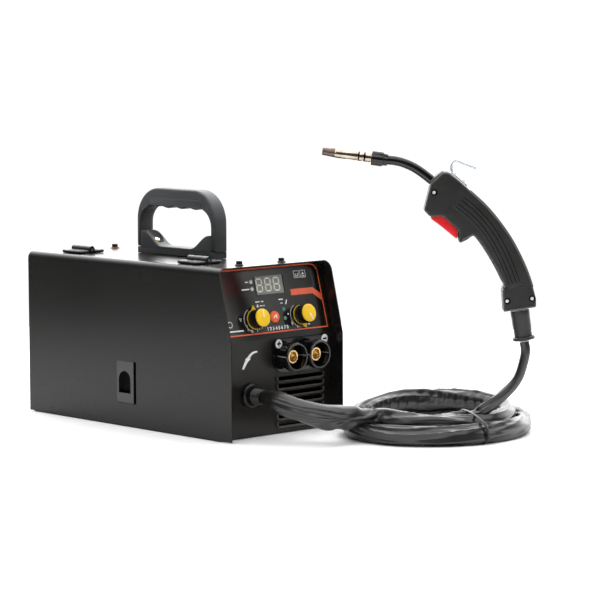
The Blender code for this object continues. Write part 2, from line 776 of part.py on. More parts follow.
def feeder():
    plate_x = -0.0275
    body = plate(
        "feeder_plate",
        [rectangle(-0.158, 0.016, -0.080, 0.086, (0.004,) * 4, 3), circle(0.0055, DRIVE_Y, DRIVE_Z)],
        DIVIDER_X - GAP - plate_x,
        ((DIVIDER_X - GAP + plate_x) / 2, 0, 0),
        ALONG_X,
        "aluminium",
    )
    arm_stud = rod("arm_stud", (plate_x + 0.001, *ARM_PIVOT), (-0.0400, *ARM_PIVOT), 0.0030, sides=16)
    tension_stud = rod(
        "tension_stud", (plate_x + 0.001, *TENSION_PIVOT), (-0.0375, *TENSION_PIVOT), 0.0022, sides=12
    )
    guide = rod("inlet_guide", (WIRE_X, -0.070, GLAND_Z), (WIRE_X, -0.100, GLAND_Z), 0.0028, sides=12)
    guide_post = box("guide_post", (WIRE_X - 0.003, -0.090, 0.0185), (WIRE_X + 0.003, -0.084, 0.052))
    guide_foot = box("guide_foot", (WIRE_X - 0.003, -0.090, 0.018), (plate_x + 0.001, -0.084, 0.027))
    outlet = rod("outlet_guide", (WIRE_X, -0.1595, GLAND_Z), (WIRE_X, -0.138, GLAND_Z), 0.0035, sides=12)
    outlet_block = box("outlet_block", (WIRE_X - 0.005, -0.157, 0.045), (plate_x + 0.001, -0.151, 0.057))
    join(body, arm_stud, tension_stud, guide, guide_post, guide_foot, outlet, outlet_block)
    motor_x = DIVIDER_X + SHEET + GAP
    turned(
        "feed_motor",
        [
            (0, 0.058),
            (0.0170, 0.058),
            (0.0190, 0.056),
            (0.0190, 0.018),
            (0.0220, 0.0175),
            (0.0220, 0.0),
            (0.0048, 0.0),
            (0.0048, 0.010),
            (0, 0.010),
        ],
        (motor_x, DRIVE_Y, DRIVE_Z),
        (1, 0, 0),
        "steel",
        24,
    )
    turned(
        "drive_roller",
        [
            (0, 0.0070),
            (0.0040, 0.0070),
            (0.0040, 0.0060),
            (DRIVE_R, 0.0060),
            (DRIVE_R, 0.0012),
            (DRIVE_R - 0.0010, 0.0),
            (DRIVE_R, -0.0012),
            (DRIVE_R, -0.0060),
            (0.0040, -0.0060),
            (0.0040, -0.0300),
            (0, -0.0300),
        ],
        (WIRE_X, DRIVE_Y, DRIVE_Z),
        (-1, 0, 0),
        "steel",
        24,
    )
    pressure_arm()
    turned(
        "pressure_roller",
        [
            (0.0033, 0.0048),
            (PRESS_R - 0.0005, 0.0048),
            (PRESS_R, 0.0043),
            (PRESS_R, -0.0043),
            (PRESS_R - 0.0005, -0.0048),
            (0.0033, -0.0048),
        ],
        (WIRE_X, DRIVE_Y, PRESS_Z),
        (-1, 0, 0),
        "steel",
        20,
        closed=True,
    )
    tension = turned(
        "tension_knob",
        [
            (0, 0.070),
            (0.0045, 0.070),
            (0.0055, 0.068),
            (0.0055, TENSION_REACH),
            (0.0025, TENSION_REACH),
            (0.0025, 0.0),
            (0, 0.0),
        ],
        (TENSION_X, *TENSION_PIVOT),
        (0, 0, 1),
        "black",
        20,
    )
    hub = rod("tension_hub", (-0.0362, *TENSION_PIVOT), (-0.0306, *TENSION_PIVOT), 0.0050, sides=16)
    join(tension, hub)
    cut(tension, rod("tension_hole", (-0.039, *TENSION_PIVOT), (-0.028, *TENSION_PIVOT), 0.0026, sides=12))


def pressure_arm():
    outline = arc(*ARM_PIVOT, 0.0085, 100, 270, 8)
    outline += [(DRIVE_Y, 0.0555), (-0.104, 0.0580), (-0.089, 0.0690), (-0.089, 0.0805), (-0.106, 0.0805)]
    arm = plate("pressure_arm", [outline], 0.0108, (-0.0334, 0, 0), ALONG_X, "black")
    moving_origin(arm, (-0.0334, *ARM_PIVOT))
    axle = rod("roller_axle", (-0.030, DRIVE_Y, PRESS_Z), (-0.0498, DRIVE_Y, PRESS_Z), 0.0030, sides=16)
    join(arm, axle)
    cut(
        arm,
        rod("arm_hole", (-0.045, *ARM_PIVOT), (-0.022, *ARM_PIVOT), 0.0034, sides=16),
        box("fork_slot", (TENSION_X - 0.0029, -0.0965, 0.05), (TENSION_X + 0.0029, -0.085, 0.09)),
    )


def spool():
    turned(
        "spool_spindle",
        [
            (0, 0.0650),
            (0.0070, 0.0650),
            (0.0078, 0.0640),
            (0.0078, 0.0130),
            (0.0150, 0.0130),
            (0.0160, 0.0120),
            (0.0160, 0.0003),
            (0, 0.0003),
        ],
        (DIVIDER_X, SPOOL_Y, SPOOL_Z),
        (-1, 0, 0),
        "black",
        28,
    )
    turned(
        "wire_spool",
        [
            (0.0083, 0.0225),
            (SPOOL_R, 0.0225),
            (SPOOL_R, 0.0200),
            (0.0420, 0.0195),
            (0.0420, -0.0195),
            (SPOOL_R, -0.0200),
            (SPOOL_R, -0.0225),
            (0.0083, -0.0225),
        ],
        (-0.0575, SPOOL_Y, SPOOL_Z),
        (-1, 0, 0),
        "nylon",
        32,
        closed=True,
    )
    turned(
        "spool_nut",
        [
            (0.0081, 0.0060),
            (0.0130, 0.0060),
            (0.0145, 0.0045),
            (0.0145, 0.0),
            (0.0081, 0.0),
        ],
        (-0.0805, SPOOL_Y, SPOOL_Z),
        (-1, 0, 0),
        "plastic",
        12,
        closed=True,
    )


# ---- power unit ----


def power_unit():
    box("main_board", (-0.0140, -0.060, 0.018), (-0.0124, 0.150, 0.150), "board")
    sink = box("heat_sink", (0.024, -0.070, 0.0016), (0.082, 0.060, 0.056), "aluminium")
    cutters = []
    for i in range(7):
        x = 0.0290 + i * 0.0075
        cutters.append(box(f"fin_gap_{i}", (x, -0.08, 0.009), (x + 0.004, 0.07, 0.06)))
    cut(sink, *cutters)
    core = box("transformer", (0.020, 0.078, 0.0016), (0.080, 0.150, 0.062), "copper")
    cut(
        core,
        box("core_gap_0", (0.018, 0.070, 0.014), (0.034, 0.160, 0.050)),
        box("core_gap_1", (0.066, 0.070, 0.014), (0.082, 0.160, 0.050)),
    )
    join(core, rod("winding", (0.050, 0.114, 0.010), (0.050, 0.114, 0.054), 0.0290, sides=28))
    fan()
    rear_fittings()


def fan():
    x, z = 0.036, 0.106
    half = 0.046
    outline = rectangle(x - half, z - half, x + half, z + half, (0.004,) * 4, 3)
    frame = plate(
        "fan_frame", [outline, circle(0.0435, x, z, 36)], 0.025, (0, 0.1760, 0), FACING_FRONT, "black"
    )
    hub_back = rod("fan_motor", (x, 0.1655, z), (x, 0.1635, z), 0.0170, sides=20)
    spokes = [hub_back]
    for k in range(3):
        angle = math.radians(30 + 120 * k)
        direction = Vector((math.cos(angle), 0, math.sin(angle)))
        start = Vector((x, 0.1645, z)) + direction * 0.010
        spokes.append(rod(f"fan_spoke_{k}", start, start + direction * 0.0350, 0.0012, sides=8))
    join(frame, *spokes)
    rotor = turned(
        "fan_rotor",
        [(0, 0.0200), (0.0165, 0.0200), (0.0180, 0.0185), (0.0180, 0.0), (0, 0.0)],
        (x, 0.1664, z),
        (0, 1, 0),
        "black",
        28,
    )
    blades = []
    for k in range(7):
        angle = 2 * math.pi * k / 7
        blade = box(f"fan_blade_{k}", (0.0160, -0.0080, -0.0006), (0.0410, 0.0080, 0.0006), origin=(0, 0, 0))
        twist = Matrix.Rotation(math.radians(40), 4, "X")
        spin = Matrix.Rotation(angle, 4, "Y")
        blade.matrix_world = Matrix.Translation((x, 0.1764, z)) @ spin @ twist
        blades.append(blade)
    join(rotor, *blades)


def rear_fittings():
    y = REAR_PANEL_Y + SHEET / 2
    frame = box("power_switch", (0.0398, y + GAP, 0.1618), (0.0702, y + 0.0018, 0.1822), "black")
    join(frame, box("switch_body", (0.0428, y - 0.018, 0.1648), (0.0672, y + 0.001, 0.1792)))
    cut(frame, box("switch_well", (0.0440, y - 0.010, 0.1658), (0.0660, y + 0.01, 0.1782)))
    rocker = box(
        "power_switch_rocker",
        (0.0445, y - 0.0065, 0.1668),
        (0.0655, y + 0.0042, 0.1772),
        "red",
        origin=(0.055, y - 0.0040, 0.172),
    )
    rocker.matrix_world = rocker.matrix_world @ Matrix.Rotation(math.radians(-8), 4, "X")
    bevel(rocker, 0.0008)
    turned(
        "power_cord_gland",
        [
            (0, 0.016),
            (0.0060, 0.016),
            (0.0095, 0.012),
            (0.0115, 0.010),
            (0.0115, 0.0004),
            (0.0080, 0.0004),
            (0.0080, -0.012),
            (0, -0.012),
        ],
        (0.020, y, 0.030),
        (0, 1, 0),
        "rubber",
        24,
    )
    valve = turned(
        "gas_valve",
        [
            (0, 0.024),
            (0.0032, 0.024),
            (0.0042, 0.020),
            (0.0032, 0.019),
            (0.0042, 0.014),
            (0.0032, 0.013),
            (0.0032, 0.008),
            (0.0090, 0.0075),
            (0.0090, 0.0004),
            (0.0065, 0.0004),
            (0.0065, -0.010),
            (0, -0.010),
        ],
        (-0.050, y, 0.036),
        (0, 1, 0),
        "brass",
        16,
    )
    join(valve, box("valve_body", (-0.062, y - 0.034, 0.024), (-0.038, y - 0.008, 0.048)))


# ---- torch hose ----


def coil_ring(name, look, extra=0.0):
    """The coil's outer shape: two turns, the inner one leaning on the outer one, stretched along X."""
    profile = hull_of_circles(list(COIL_TURNS.values()), HOSE_D / 2 + extra, 12)[::-1]
    ring = turned(name, profile, hose_point(COIL_S, COIL_T, 0), (0, 0, 1), look, 36, closed=True)
    stretch = Matrix.Diagonal((*COIL_STRETCH, 1, 1))
    ring.matrix_world = ring.matrix_world @ stretch
    return ring


def hull_of_circles(centres, radius, sides=20):
    """The line drawn tight round some circles of one radius, as points going round once."""
    points = sorted({p for c in centres for p in circle(radius, *c, sides)})

    def chain(ordered):
        kept = []
        for p in ordered:
            while len(kept) > 1 and cross(kept[-2], kept[-1], p) <= 1e-12:
                kept.pop()
            kept.append(p)
        return kept[:-1]

    return chain(points) + chain(points[::-1])


def cross(o, a, b):
    return (a[0] - o[0]) * (b[1] - o[1]) - (a[1] - o[1]) * (b[0] - o[0])


def hose():
    coil_ring("torch_cable_coil", "sheath")
    clear = coil_ring("coil_clearance", None, GAP)
    end = Vector((GLAND_X, PANEL_Y - GLAND_OUT - 0.0008, GLAND_Z))
    start = [end, end + Vector((0.0005, -0.012, -0.0002))]
    route = start + [hose_point(*p) for p in LEAD_ROUTE]
    lead = tube("torch_cable_lead", smooth_route(route, 0.012), 0.0092, "sheath")
    cut(lead, clear)
    route = [hose_point(*p) for p in RISER_ROUTE] + [relief_point(-0.013), relief_point(-0.0006)]
    riser = tube("torch_cable_riser", smooth_route(route, 0.012), 0.0078, "sheath")
    cut(riser, clear)
    tie()


def tie():
    """A cable tie round the coil's two turns and the hose that rises from it."""
    centre = hose_point(COIL_S, COIL_T, 0)
    crossing = hose_point(TIE_S, TIE_T, 0)
    outward = (crossing - centre).normalized()
    stretch = 1 / math.hypot(outward.x / COIL_STRETCH[0], outward.y / COIL_STRETCH[1])
    centres = [(radius * stretch, z) for radius, z in COIL_TURNS.values()]
    centres.append(((crossing - centre).length, 0.0235))
    loop = hull_of_circles(centres, HOSE_D / 2 + 0.00095)
    points = [centre + outward * r + Vector((0, 0, z)) for r, z in loop]
    tube("cable_tie", points, TIE_R, "black", 2, cyclic=True)


# ---- torch ----

RELIEF_FOOT = (0.2121, 0.1180)
RELIEF_TOP = (0.2066, 0.1555)


def in_torch_plane(s, z, out=0.0):
    """A point in the torch's own plane, or out of it towards its left side."""
    return hose_point(s, TORCH_T - out, z)


def relief_point(up):
    """A point on the strain relief's axis: a distance up it from its foot."""
    foot, top = in_torch_plane(*RELIEF_FOOT), in_torch_plane(*RELIEF_TOP)
    return foot + (top - foot).normalized() * up


TORCH_TURN = Matrix((ACROSS, Vector((0, 0, 1)), -AWAY)).transposed()
GRIP_OUTLINE = [
    (0.1151, 0.3180),
    (0.1221, 0.3175),
    (0.1336, 0.3085),
    (0.1486, 0.2950),
    (0.1661, 0.2785),
    (0.1811, 0.2610),
    (0.1951, 0.2410),
    (0.2061, 0.2210),
    (0.2151, 0.2010),
    (0.2211, 0.1835),
    (0.2251, 0.1685),
    (0.2252, 0.1585),
    (0.1870, 0.1530),
    (0.1850, 0.1790),
    (0.1881, 0.1810),
    (0.1861, 0.1885),
    (0.1786, 0.2035),
    (0.1686, 0.2210),
    (0.1586, 0.2360),
    (0.1511, 0.2435),
    (0.1411, 0.2385),
    (0.1340, 0.2350),
    (0.1340, 0.2485),
    (0.1151, 0.2655),
    (0.1001, 0.2655),
    (0.0931, 0.2730),
    (0.1011, 0.3050),
]
NECK_ROUTE = [
    (0.0518, 0.3315),
    (0.0600, 0.3308),
    (0.0771, 0.3283),
    (0.0891, 0.3210),
    (0.1011, 0.3115),
    (0.1161, 0.2990),
    (0.1311, 0.2865),
]
NOZZLE_BASE = (0.0511, 0.3315)
NOZZLE_TIP = (-0.0256, 0.3422)
TRIGGER_PIVOT = (0.1035, 0.2640)
TRIGGER_POCKET = [(0.0998, 0.2380), (0.0998, 0.2705), (0.1160, 0.2705), (0.1368, 0.2530), (0.1368, 0.2380)]


def torch():
    neck_points = smooth_route([in_torch_plane(*p) for p in NECK_ROUTE], 0.007)
    neck_end = neck_points[-1] + (neck_points[-1] - neck_points[-2]).normalized() * 0.001
    for side, name in ((1, "torch_handle_left"), (-1, "torch_handle_right")):
        half = plate(
            name,
            [GRIP_OUTLINE],
            TORCH_HALF - 0.00015,
            in_torch_plane(0, 0, side * (TORCH_HALF / 2 + 0.0001)),
            TORCH_TURN,
            "plastic",
        )
        bevel(half, 0.0030, 1, 70)
        neck_way = tube(name + "_neck_way", [*neck_points[5:], neck_end], 0.0061)
        pocket = plate(name + "_pocket", [TRIGGER_POCKET], 0.0230, in_torch_plane(0, 0), TORCH_TURN)
        cut(half, neck_way, pocket)
    tube("torch_neck", neck_points, 0.0056, "black")
    nozzle()
    strain_relief()
    trigger()
    hook()


def trigger():
    outline = [
        (0.1010, 0.2640),
        (0.1014, 0.2685),
        (0.1150, 0.2672),
        (0.1326, 0.2505),
        (0.1328, 0.2420),
        (0.1313, 0.2390),
        (0.1230, 0.2460),
        (0.1120, 0.2550),
        (0.1030, 0.2615),
    ]
    lever = plate("torch_trigger", [outline], 0.0220, in_torch_plane(0, 0), TORCH_TURN, "red")
    moving_origin(lever, in_torch_plane(*TRIGGER_PIVOT))
    bevel(lever, 0.0010)


def nozzle():
    base = in_torch_plane(*NOZZLE_BASE)
    axis = in_torch_plane(*NOZZLE_TIP) - base
    turned(
        "nozzle_insulator",
        [
            (0.0038, 0.0195),
            (0.0088, 0.0195),
            (0.0092, 0.0185),
            (0.0092, 0.0065),
            (0.0078, 0.0050),
            (0.0072, 0.0),
            (0.0064, 0.0),
            (0.0064, 0.0060),
            (0.0038, 0.0075),
        ],
        base,
        axis,
        "black",
        20,
        closed=True,
    )
    turned(
        "gas_nozzle",
        [
            (0.0036, 0.0774),
            (0.0044, 0.0774),
            (0.0055, 0.0630),
            (0.0060, 0.0350),
            (0.0053, 0.0343),
            (0.0053, 0.0337),
            (0.0060, 0.0330),
            (0.0060, 0.0199),
            (0.0044, 0.0199),
            (0.0044, 0.0600),
        ],
        base,
        axis,
        "steel",
        22,
        closed=True,
    )
    turned(
        "contact_tip",
        [
            (0, 0.0765),
            (0.0018, 0.0765),
            (0.0024, 0.0740),
            (0.0024, 0.0450),
            (0.0034, 0.0445),
            (0.0034, 0.0090),
            (0, 0.0090),
        ],
        base,
        axis,
        "copper",
        16,
    )


def strain_relief():
    turned(
        "torch_strain_relief",
        [
            (0, 0.0362),
            (0.0110, 0.0362),
            (0.0106, 0.0056),
            (0.0126, 0.0042),
            (0.0128, 0.0012),
            (0.0112, 0.0),
            (0, 0.0),
        ],
        relief_point(0),
        relief_point(1) - relief_point(0),
        "rubber",
        24,
    )


def hook():
    """The bent wire hook on the back of the torch's handle, and the leaf that holds it."""
    leaf_outline = [
        (0.1243, 0.3164),
        (0.1339, 0.3089),
        (0.1433, 0.3004),
        (0.1445, 0.3016),
        (0.1350, 0.3102),
        (0.1254, 0.3177),
    ]
    leaf = plate("torch_hook", [leaf_outline], 0.009, in_torch_plane(0, 0), TORCH_TURN, "zinc")
    points = [
        (0.1268, 0.3157),
        (0.1260, 0.3210),
        (0.1262, 0.3260),
        (0.1290, 0.3300),
        (0.1335, 0.3300),
        (0.1429, 0.3262),
        (0.1546, 0.3217),
    ]
    route = smooth_route([in_torch_plane(*p) for p in points], 0.005)
    join(leaf, tube("hook_wire", route, 0.0013, fineness=2))


def main():
    cabinet()
    front_panel()
    control_panel()
    sockets()
    door()
    handle()
    feeder()
    spool()
    power_unit()
    hose()
    torch()


main()
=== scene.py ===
"""The looks of the MIG welding machine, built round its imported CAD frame: painted sheet metal, the printed
control panel, the moulded handle and torch, and the torch's wrinkled hose."""

import math

import bmesh
import bpy
from mathutils import Matrix, Vector, noise


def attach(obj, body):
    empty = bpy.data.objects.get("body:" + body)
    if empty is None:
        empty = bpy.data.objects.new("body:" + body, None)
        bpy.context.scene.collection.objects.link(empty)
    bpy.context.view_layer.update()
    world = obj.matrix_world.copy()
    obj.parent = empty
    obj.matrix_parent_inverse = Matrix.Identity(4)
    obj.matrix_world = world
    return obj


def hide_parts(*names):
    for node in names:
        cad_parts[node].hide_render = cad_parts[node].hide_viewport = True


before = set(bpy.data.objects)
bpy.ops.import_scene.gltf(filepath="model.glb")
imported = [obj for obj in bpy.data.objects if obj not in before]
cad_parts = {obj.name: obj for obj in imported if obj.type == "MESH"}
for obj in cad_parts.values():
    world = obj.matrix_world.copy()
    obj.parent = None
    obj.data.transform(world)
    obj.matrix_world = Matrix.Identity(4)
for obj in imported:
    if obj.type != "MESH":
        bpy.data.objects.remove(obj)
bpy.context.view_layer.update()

# ---- sizes of the frame, in metres ----
HEIGHT, FOLD_Z, LEAN = 0.205, 0.117, 0.022
LEFT, RIGHT, FRONT, REAR = -0.0915, 0.0915, -0.193, 0.193
PANEL_Y = -0.173
SHEET, GAP = 0.0012, 0.0003
SLOPE = math.atan2(LEAN, HEIGHT - FOLD_Z)
HINGE_X = -0.057
TOP = HEIGHT + GAP
KNOBS = {"voltage_knob": (-0.034, math.radians(4)), "wire_speed_knob": (0.0415, math.radians(160))}
KNOB_UP = 0.0237
SOCKETS = {"positive": 0.0138, "negative": 0.0519}
SOCKET_Z = 0.0938
GLAND = Vector((-0.0443, PANEL_Y, 0.051))
GLAND_OUT = 0.024
CORNER = Vector((RIGHT, FRONT, 0))
TURN = math.radians(43.4)
ACROSS = Vector((math.cos(TURN), -math.sin(TURN), 0))
AWAY = Vector((math.sin(TURN), math.cos(TURN), 0))
UP = Vector((0, 0, 1))
TORCH_T = -0.096
COIL_MIDDLE = (0.1105, -0.041)
COIL_STRETCH = (1.055, 0.945)


def hose_point(s, t, z):
    """A point by its distances across and away from the cabinet's front right corner, and its height."""
    return CORNER + ACROSS * s + AWAY * t + UP * z


# ---- camera ----


def camera():
    """A long lens, in front of the cabinet's left front edge and a little above it."""
    azimuth, pitch, roll = math.radians(43.424), math.radians(5.885), math.radians(-0.203)
    level = Vector((math.sin(azimuth), math.cos(azimuth), 0))
    forward = level * math.cos(pitch) - UP * math.sin(pitch)
    right = Vector((math.cos(azimuth), -math.sin(azimuth), 0))
    up = right.cross(forward)
    right, up = (
        right * math.cos(roll) + up * math.sin(roll),
        up * math.cos(roll) - right * math.sin(roll),
    )
    data = bpy.data.cameras.new("camera")
    data.lens = 156
    data.sensor_width = 36
    data.clip_end = 50
    obj = bpy.data.objects.new("camera", data)
    turn = Matrix((right, up, -forward)).transposed().to_4x4()
    obj.matrix_world = Matrix.Translation((-2.1080, -2.4410, 0.4811)) @ turn
    bpy.context.scene.collection.objects.link(obj)
    bpy.context.scene.camera = obj


camera()


# ---- materials ----


def node(tree, kind, **settings):
    made = tree.nodes.new(kind)
    for key, value in settings.items():
        setattr(made, key, value)
    return made


def grey(value):
    return (value, value, value)


def finish_of(
    name,
    colour,
    roughness,
    metallic=0.0,
    second=None,
    patches=9.0,
    grain=900.0,
    relief=0.12,
    rough_change=0.08,
    coat=0.0,
    specular=0.5,
    scratches=0.0,
):
    """A procedural finish: colour in soft patches between two tones, a fine raised grain, uneven gloss and,
    for bare metal, fine lathe or rolling marks."""
    made = bpy.data.materials.new(name)
    made.use_nodes = True
    tree = made.node_tree
    shader = tree.nodes["Principled BSDF"]
    shader.inputs["Metallic"].default_value = metallic
    shader.inputs["Coat Weight"].default_value = coat
    shader.inputs["Coat Roughness"].default_value = 0.12
    shader.inputs["Specular IOR Level"].default_value = specular
    place = node(tree, "ShaderNodeTexCoord")
    broad = node(tree, "ShaderNodeTexNoise")
    broad.inputs["Scale"].default_value = patches
    broad.inputs["Detail"].default_value = 6
    tree.links.new(place.outputs["Object"], broad.inputs["Vector"])
    tones = node(tree, "ShaderNodeValToRGB")
    second = second or tuple(c * 0.72 for c in colour)
    tones.color_ramp.elements[0].position = 0.35
    tones.color_ramp.elements[0].color = (*second, 1)
    tones.color_ramp.elements[1].position = 0.65
    tones.color_ramp.elements[1].color = (*colour, 1)
    tree.links.new(broad.outputs["Fac"], tones.inputs["Fac"])
    tree.links.new(tones.outputs["Color"], shader.inputs["Base Color"])
    fine = node(tree, "ShaderNodeTexNoise")
    fine.inputs["Scale"].default_value = grain
    fine.inputs["Detail"].default_value = 3
    tree.links.new(place.outputs["Object"], fine.inputs["Vector"])
    gloss = node(tree, "ShaderNodeMapRange")
    gloss.inputs["To Min"].default_value = max(0.02, roughness - rough_change)
    gloss.inputs["To Max"].default_value = min(1.0, roughness + rough_change)
    tree.links.new(broad.outputs["Fac"], gloss.inputs["Value"])
    tree.links.new(gloss.outputs["Result"], shader.inputs["Roughness"])
    bump = node(tree, "ShaderNodeBump")
    bump.inputs["Strength"].default_value = relief
    bump.inputs["Distance"].default_value = 0.0002
    height = fine.outputs["Fac"]
    if scratches:
        stretch = node(tree, "ShaderNodeMapping")
        stretch.inputs["Scale"].default_value = (60, 2500, 2500)
        tree.links.new(place.outputs["Object"], stretch.inputs["Vector"])
        lines = node(tree, "ShaderNodeTexNoise")
        lines.inputs["Scale"].default_value = 1.0
        lines.inputs["Detail"].default_value = 4
        tree.links.new(stretch.outputs["Vector"], lines.inputs["Vector"])
        mix = node(tree, "ShaderNodeMix")
        mix.inputs["Factor"].default_value = scratches
        tree.links.new(fine.outputs["Fac"], mix.inputs["A"])
        tree.links.new(lines.outputs["Fac"], mix.inputs["B"])
        height = mix.outputs["Result"]
    tree.links.new(height, bump.inputs["Height"])
    tree.links.new(bump.outputs["Normal"], shader.inputs["Normal"])
    return made


def sheath_finish():
    """The hose's dark sheath: a soft leather-like film with a pebbled grain and fine creases."""
    made = finish_of(
        "sheath",
        (0.0100, 0.0098, 0.0093),
        0.31,
        second=(0.0070, 0.0069, 0.0066),
        patches=12,
        grain=1700,
        relief=0.12,
        rough_change=0.07,
        specular=0.75,
    )
    tree = made.node_tree
    shader = tree.nodes["Principled BSDF"]
    place = next(n for n in tree.nodes if n.type == "TEX_COORD")
    creases = node(tree, "ShaderNodeTexNoise", noise_dimensions="3D")
    creases.inputs["Scale"].default_value = 75
    creases.inputs["Detail"].default_value = 3
    creases.inputs["Distortion"].default_value = 1.2
    tree.links.new(place.outputs["Object"], creases.inputs["Vector"])
    bump = node(tree, "ShaderNodeBump")
    bump.inputs["Strength"].default_value = 0.14
    bump.inputs["Distance"].default_value = 0.0008
    tree.links.new(creases.outputs["Fac"], bump.inputs["Height"])
    first = shader.inputs["Normal"].links[0].from_socket
    tree.links.new(first, bump.inputs["Normal"])
    tree.links.new(bump.outputs["Normal"], shader.inputs["Normal"])
    return made


POWDER = finish_of(
    "powder_coat",
    (0.0080, 0.0080, 0.0078),
    0.27,
    second=grey(0.006),
    patches=14,
    grain=1400,
    relief=0.05,
    rough_change=0.03,
    specular=0.42,
)
DOOR_COAT = finish_of(
    "door_coat",
    (0.0085, 0.0084, 0.0078),
    0.27,
    second=(0.0072, 0.0072, 0.0066),
    patches=7,
    grain=1300,
    relief=0.06,
    rough_change=0.03,
    specular=0.30,
)
# Black paint of the front panel, with a brown tint that is a painted reflection of something warm.
PANEL_PAINT_AND_REFLECTION = finish_of(
    "panel_paint_and_reflection", (0.0140, 0.0118, 0.0098), 0.30, second=(0.0100, 0.0086, 0.0074), patches=18, grain=1500,
    relief=0.05, specular=0.4,
)
# The louvre lips are the panel's own black sheet; this light grey is a painted highlight along them.
LOUVRE_LIP_HIGHLIGHT = finish_of(
    "louvre_lip_painted_highlight", (0.105, 0.102, 0.092), 0.32, second=(0.070, 0.068, 0.060), patches=30, relief=0.08,
)
OVERLAY = finish_of(
    "overlay_film", (0.0120, 0.0102, 0.0088), 0.16, second=(0.0080, 0.0070, 0.0062), patches=16, grain=2600,
    relief=0.03, specular=0.4,
)
CAST = finish_of("black_casting", grey(0.012), 0.34, patches=60, grain=800, relief=0.22, coat=0.2)
MOULDED = finish_of(
    "moulded_grey", (0.050, 0.052, 0.055), 0.48, second=(0.041, 0.043, 0.045), patches=40, grain=1900,
    relief=0.30,
)
TORCH_GREY = finish_of(
    "torch_grey", (0.019, 0.019, 0.0185), 0.50, second=(0.015, 0.015, 0.0145), patches=45, grain=1500,
    relief=0.34, specular=0.4,
)
# The torch shell is one grey; this lighter grey on its edges and sides is a painted highlight.
TORCH_EDGE_HIGHLIGHT = finish_of(
    "torch_edge_painted_highlight", (0.066, 0.062, 0.053), 0.50, second=(0.046, 0.043, 0.037), patches=60, grain=1500,
    relief=0.30,
)
# Near-black and dull: painted shade in the grip's grooves and round its screws.
GROOVE_SHADE = finish_of("groove_painted_shade", grey(0.002), 0.9, patches=45, grain=1500, relief=0.2, specular=0.05)
# Lighter grey on the black socket collars' front rims: a painted highlight.
RIM_HIGHLIGHT_GREY = finish_of(
    "rim_painted_highlight", (0.060, 0.058, 0.052), 0.30, second=(0.046, 0.045, 0.041), patches=50, relief=0.06,
)
# Light grey on the black collars' mould-line ridges: a painted highlight.
MOULD_LINE_HIGHLIGHT = finish_of(
    "mould_line_painted_highlight", (0.30, 0.31, 0.34), 0.25, second=(0.22, 0.23, 0.26), patches=90, relief=0.04,
)
BLACK_GLOSS = finish_of(
    "black_gloss", grey(0.004), 0.17, patches=30, grain=900, relief=0.03, rough_change=0.03,
)
BLACK_PLASTIC = finish_of("black_plastic", grey(0.010), 0.42, patches=40, grain=1800, relief=0.20)
RUBBER = finish_of(
    "rubber", (0.0125, 0.0120, 0.0108), 0.46, second=grey(0.008), patches=60, grain=1200, relief=0.30,
)
BOOT = finish_of(
    "boot_rubber", grey(0.0035), 0.36, second=grey(0.0025), patches=60, grain=1200, relief=0.15, specular=0.4,
)
YELLOW = finish_of(
    "yellow_plastic", (0.90, 0.58, 0.006), 0.38, second=(0.82, 0.50, 0.004), patches=70, relief=0.08,
)
ORANGE = finish_of(
    "orange_plastic", (0.86, 0.15, 0.045), 0.34, second=(0.78, 0.12, 0.03), patches=70, relief=0.06,
)
RED = finish_of(
    "red_plastic", (0.80, 0.016, 0.020), 0.34, second=(0.70, 0.010, 0.014), patches=60, relief=0.10,
)
ORANGE_INK = finish_of(
    "orange_ink", (0.78, 0.125, 0.045), 0.32, second=(0.68, 0.10, 0.035), patches=60, relief=0.03,
)
WHITE_INK = finish_of("white_ink", grey(0.90), 0.40, second=grey(0.80), patches=120, relief=0.04)
DIAL_ARC_GREY = finish_of("dial_arc_grey", grey(0.42), 0.45, second=grey(0.34), patches=120, relief=0.04)
# Dark print, and also the painted shade of the screws' cross slots and of the small hole.
DARK_INK_AND_SHADE = finish_of("dark_ink_and_painted_shade", grey(0.004), 0.22, second=grey(0.003), patches=60, relief=0.03)
BRASS = finish_of(
    "brass", (0.90, 0.70, 0.38), 0.24, 1.0, second=(0.78, 0.54, 0.24), patches=160, relief=0.12, scratches=0.5
)
STEEL = finish_of("steel", grey(0.56), 0.28, 1.0, second=grey(0.46), patches=90, relief=0.14, scratches=0.6)
NOZZLE_STEEL = finish_of(
    "polished_nozzle", (0.58, 0.52, 0.44), 0.13, 1.0, second=(0.40, 0.33, 0.26), patches=70, relief=0.04
)
BURNT = finish_of(
    "burnt_steel", (0.20, 0.15, 0.13), 0.42, 1.0, second=(0.10, 0.075, 0.07), patches=150, relief=0.35
)
ZINC = finish_of(
    "zinc", (0.80, 0.86, 0.90), 0.36, 0.35, second=(0.62, 0.72, 0.80), patches=220, relief=0.06
)
GALVANISED = finish_of(
    "galvanised_sheet", grey(0.50), 0.38, 1.0, second=grey(0.40), patches=60, relief=0.15, scratches=0.2
)
ALUMINIUM = finish_of(
    "aluminium", grey(0.60), 0.36, 1.0, second=grey(0.52), patches=50, relief=0.2, scratches=0.7,
)
COPPER = finish_of(
    "copper", (0.72, 0.32, 0.17), 0.30, 1.0, second=(0.58, 0.24, 0.12), patches=120, relief=0.15,
)
FERRITE = finish_of("ferrite", grey(0.035), 0.60, second=grey(0.05), patches=90, grain=900, relief=0.3)
BOARD = finish_of(
    "circuit_board", (0.012, 0.085, 0.032), 0.38, second=(0.008, 0.060, 0.024), patches=160, relief=0.2,
)
NYLON = finish_of("spool_nylon", (0.50, 0.50, 0.47), 0.44, second=(0.44, 0.44, 0.41), patches=40, relief=0.15)
WINDOW = finish_of(
    "display_window", (0.235, 0.24, 0.22), 0.20, second=(0.18, 0.185, 0.17), patches=60, relief=0.02,
)
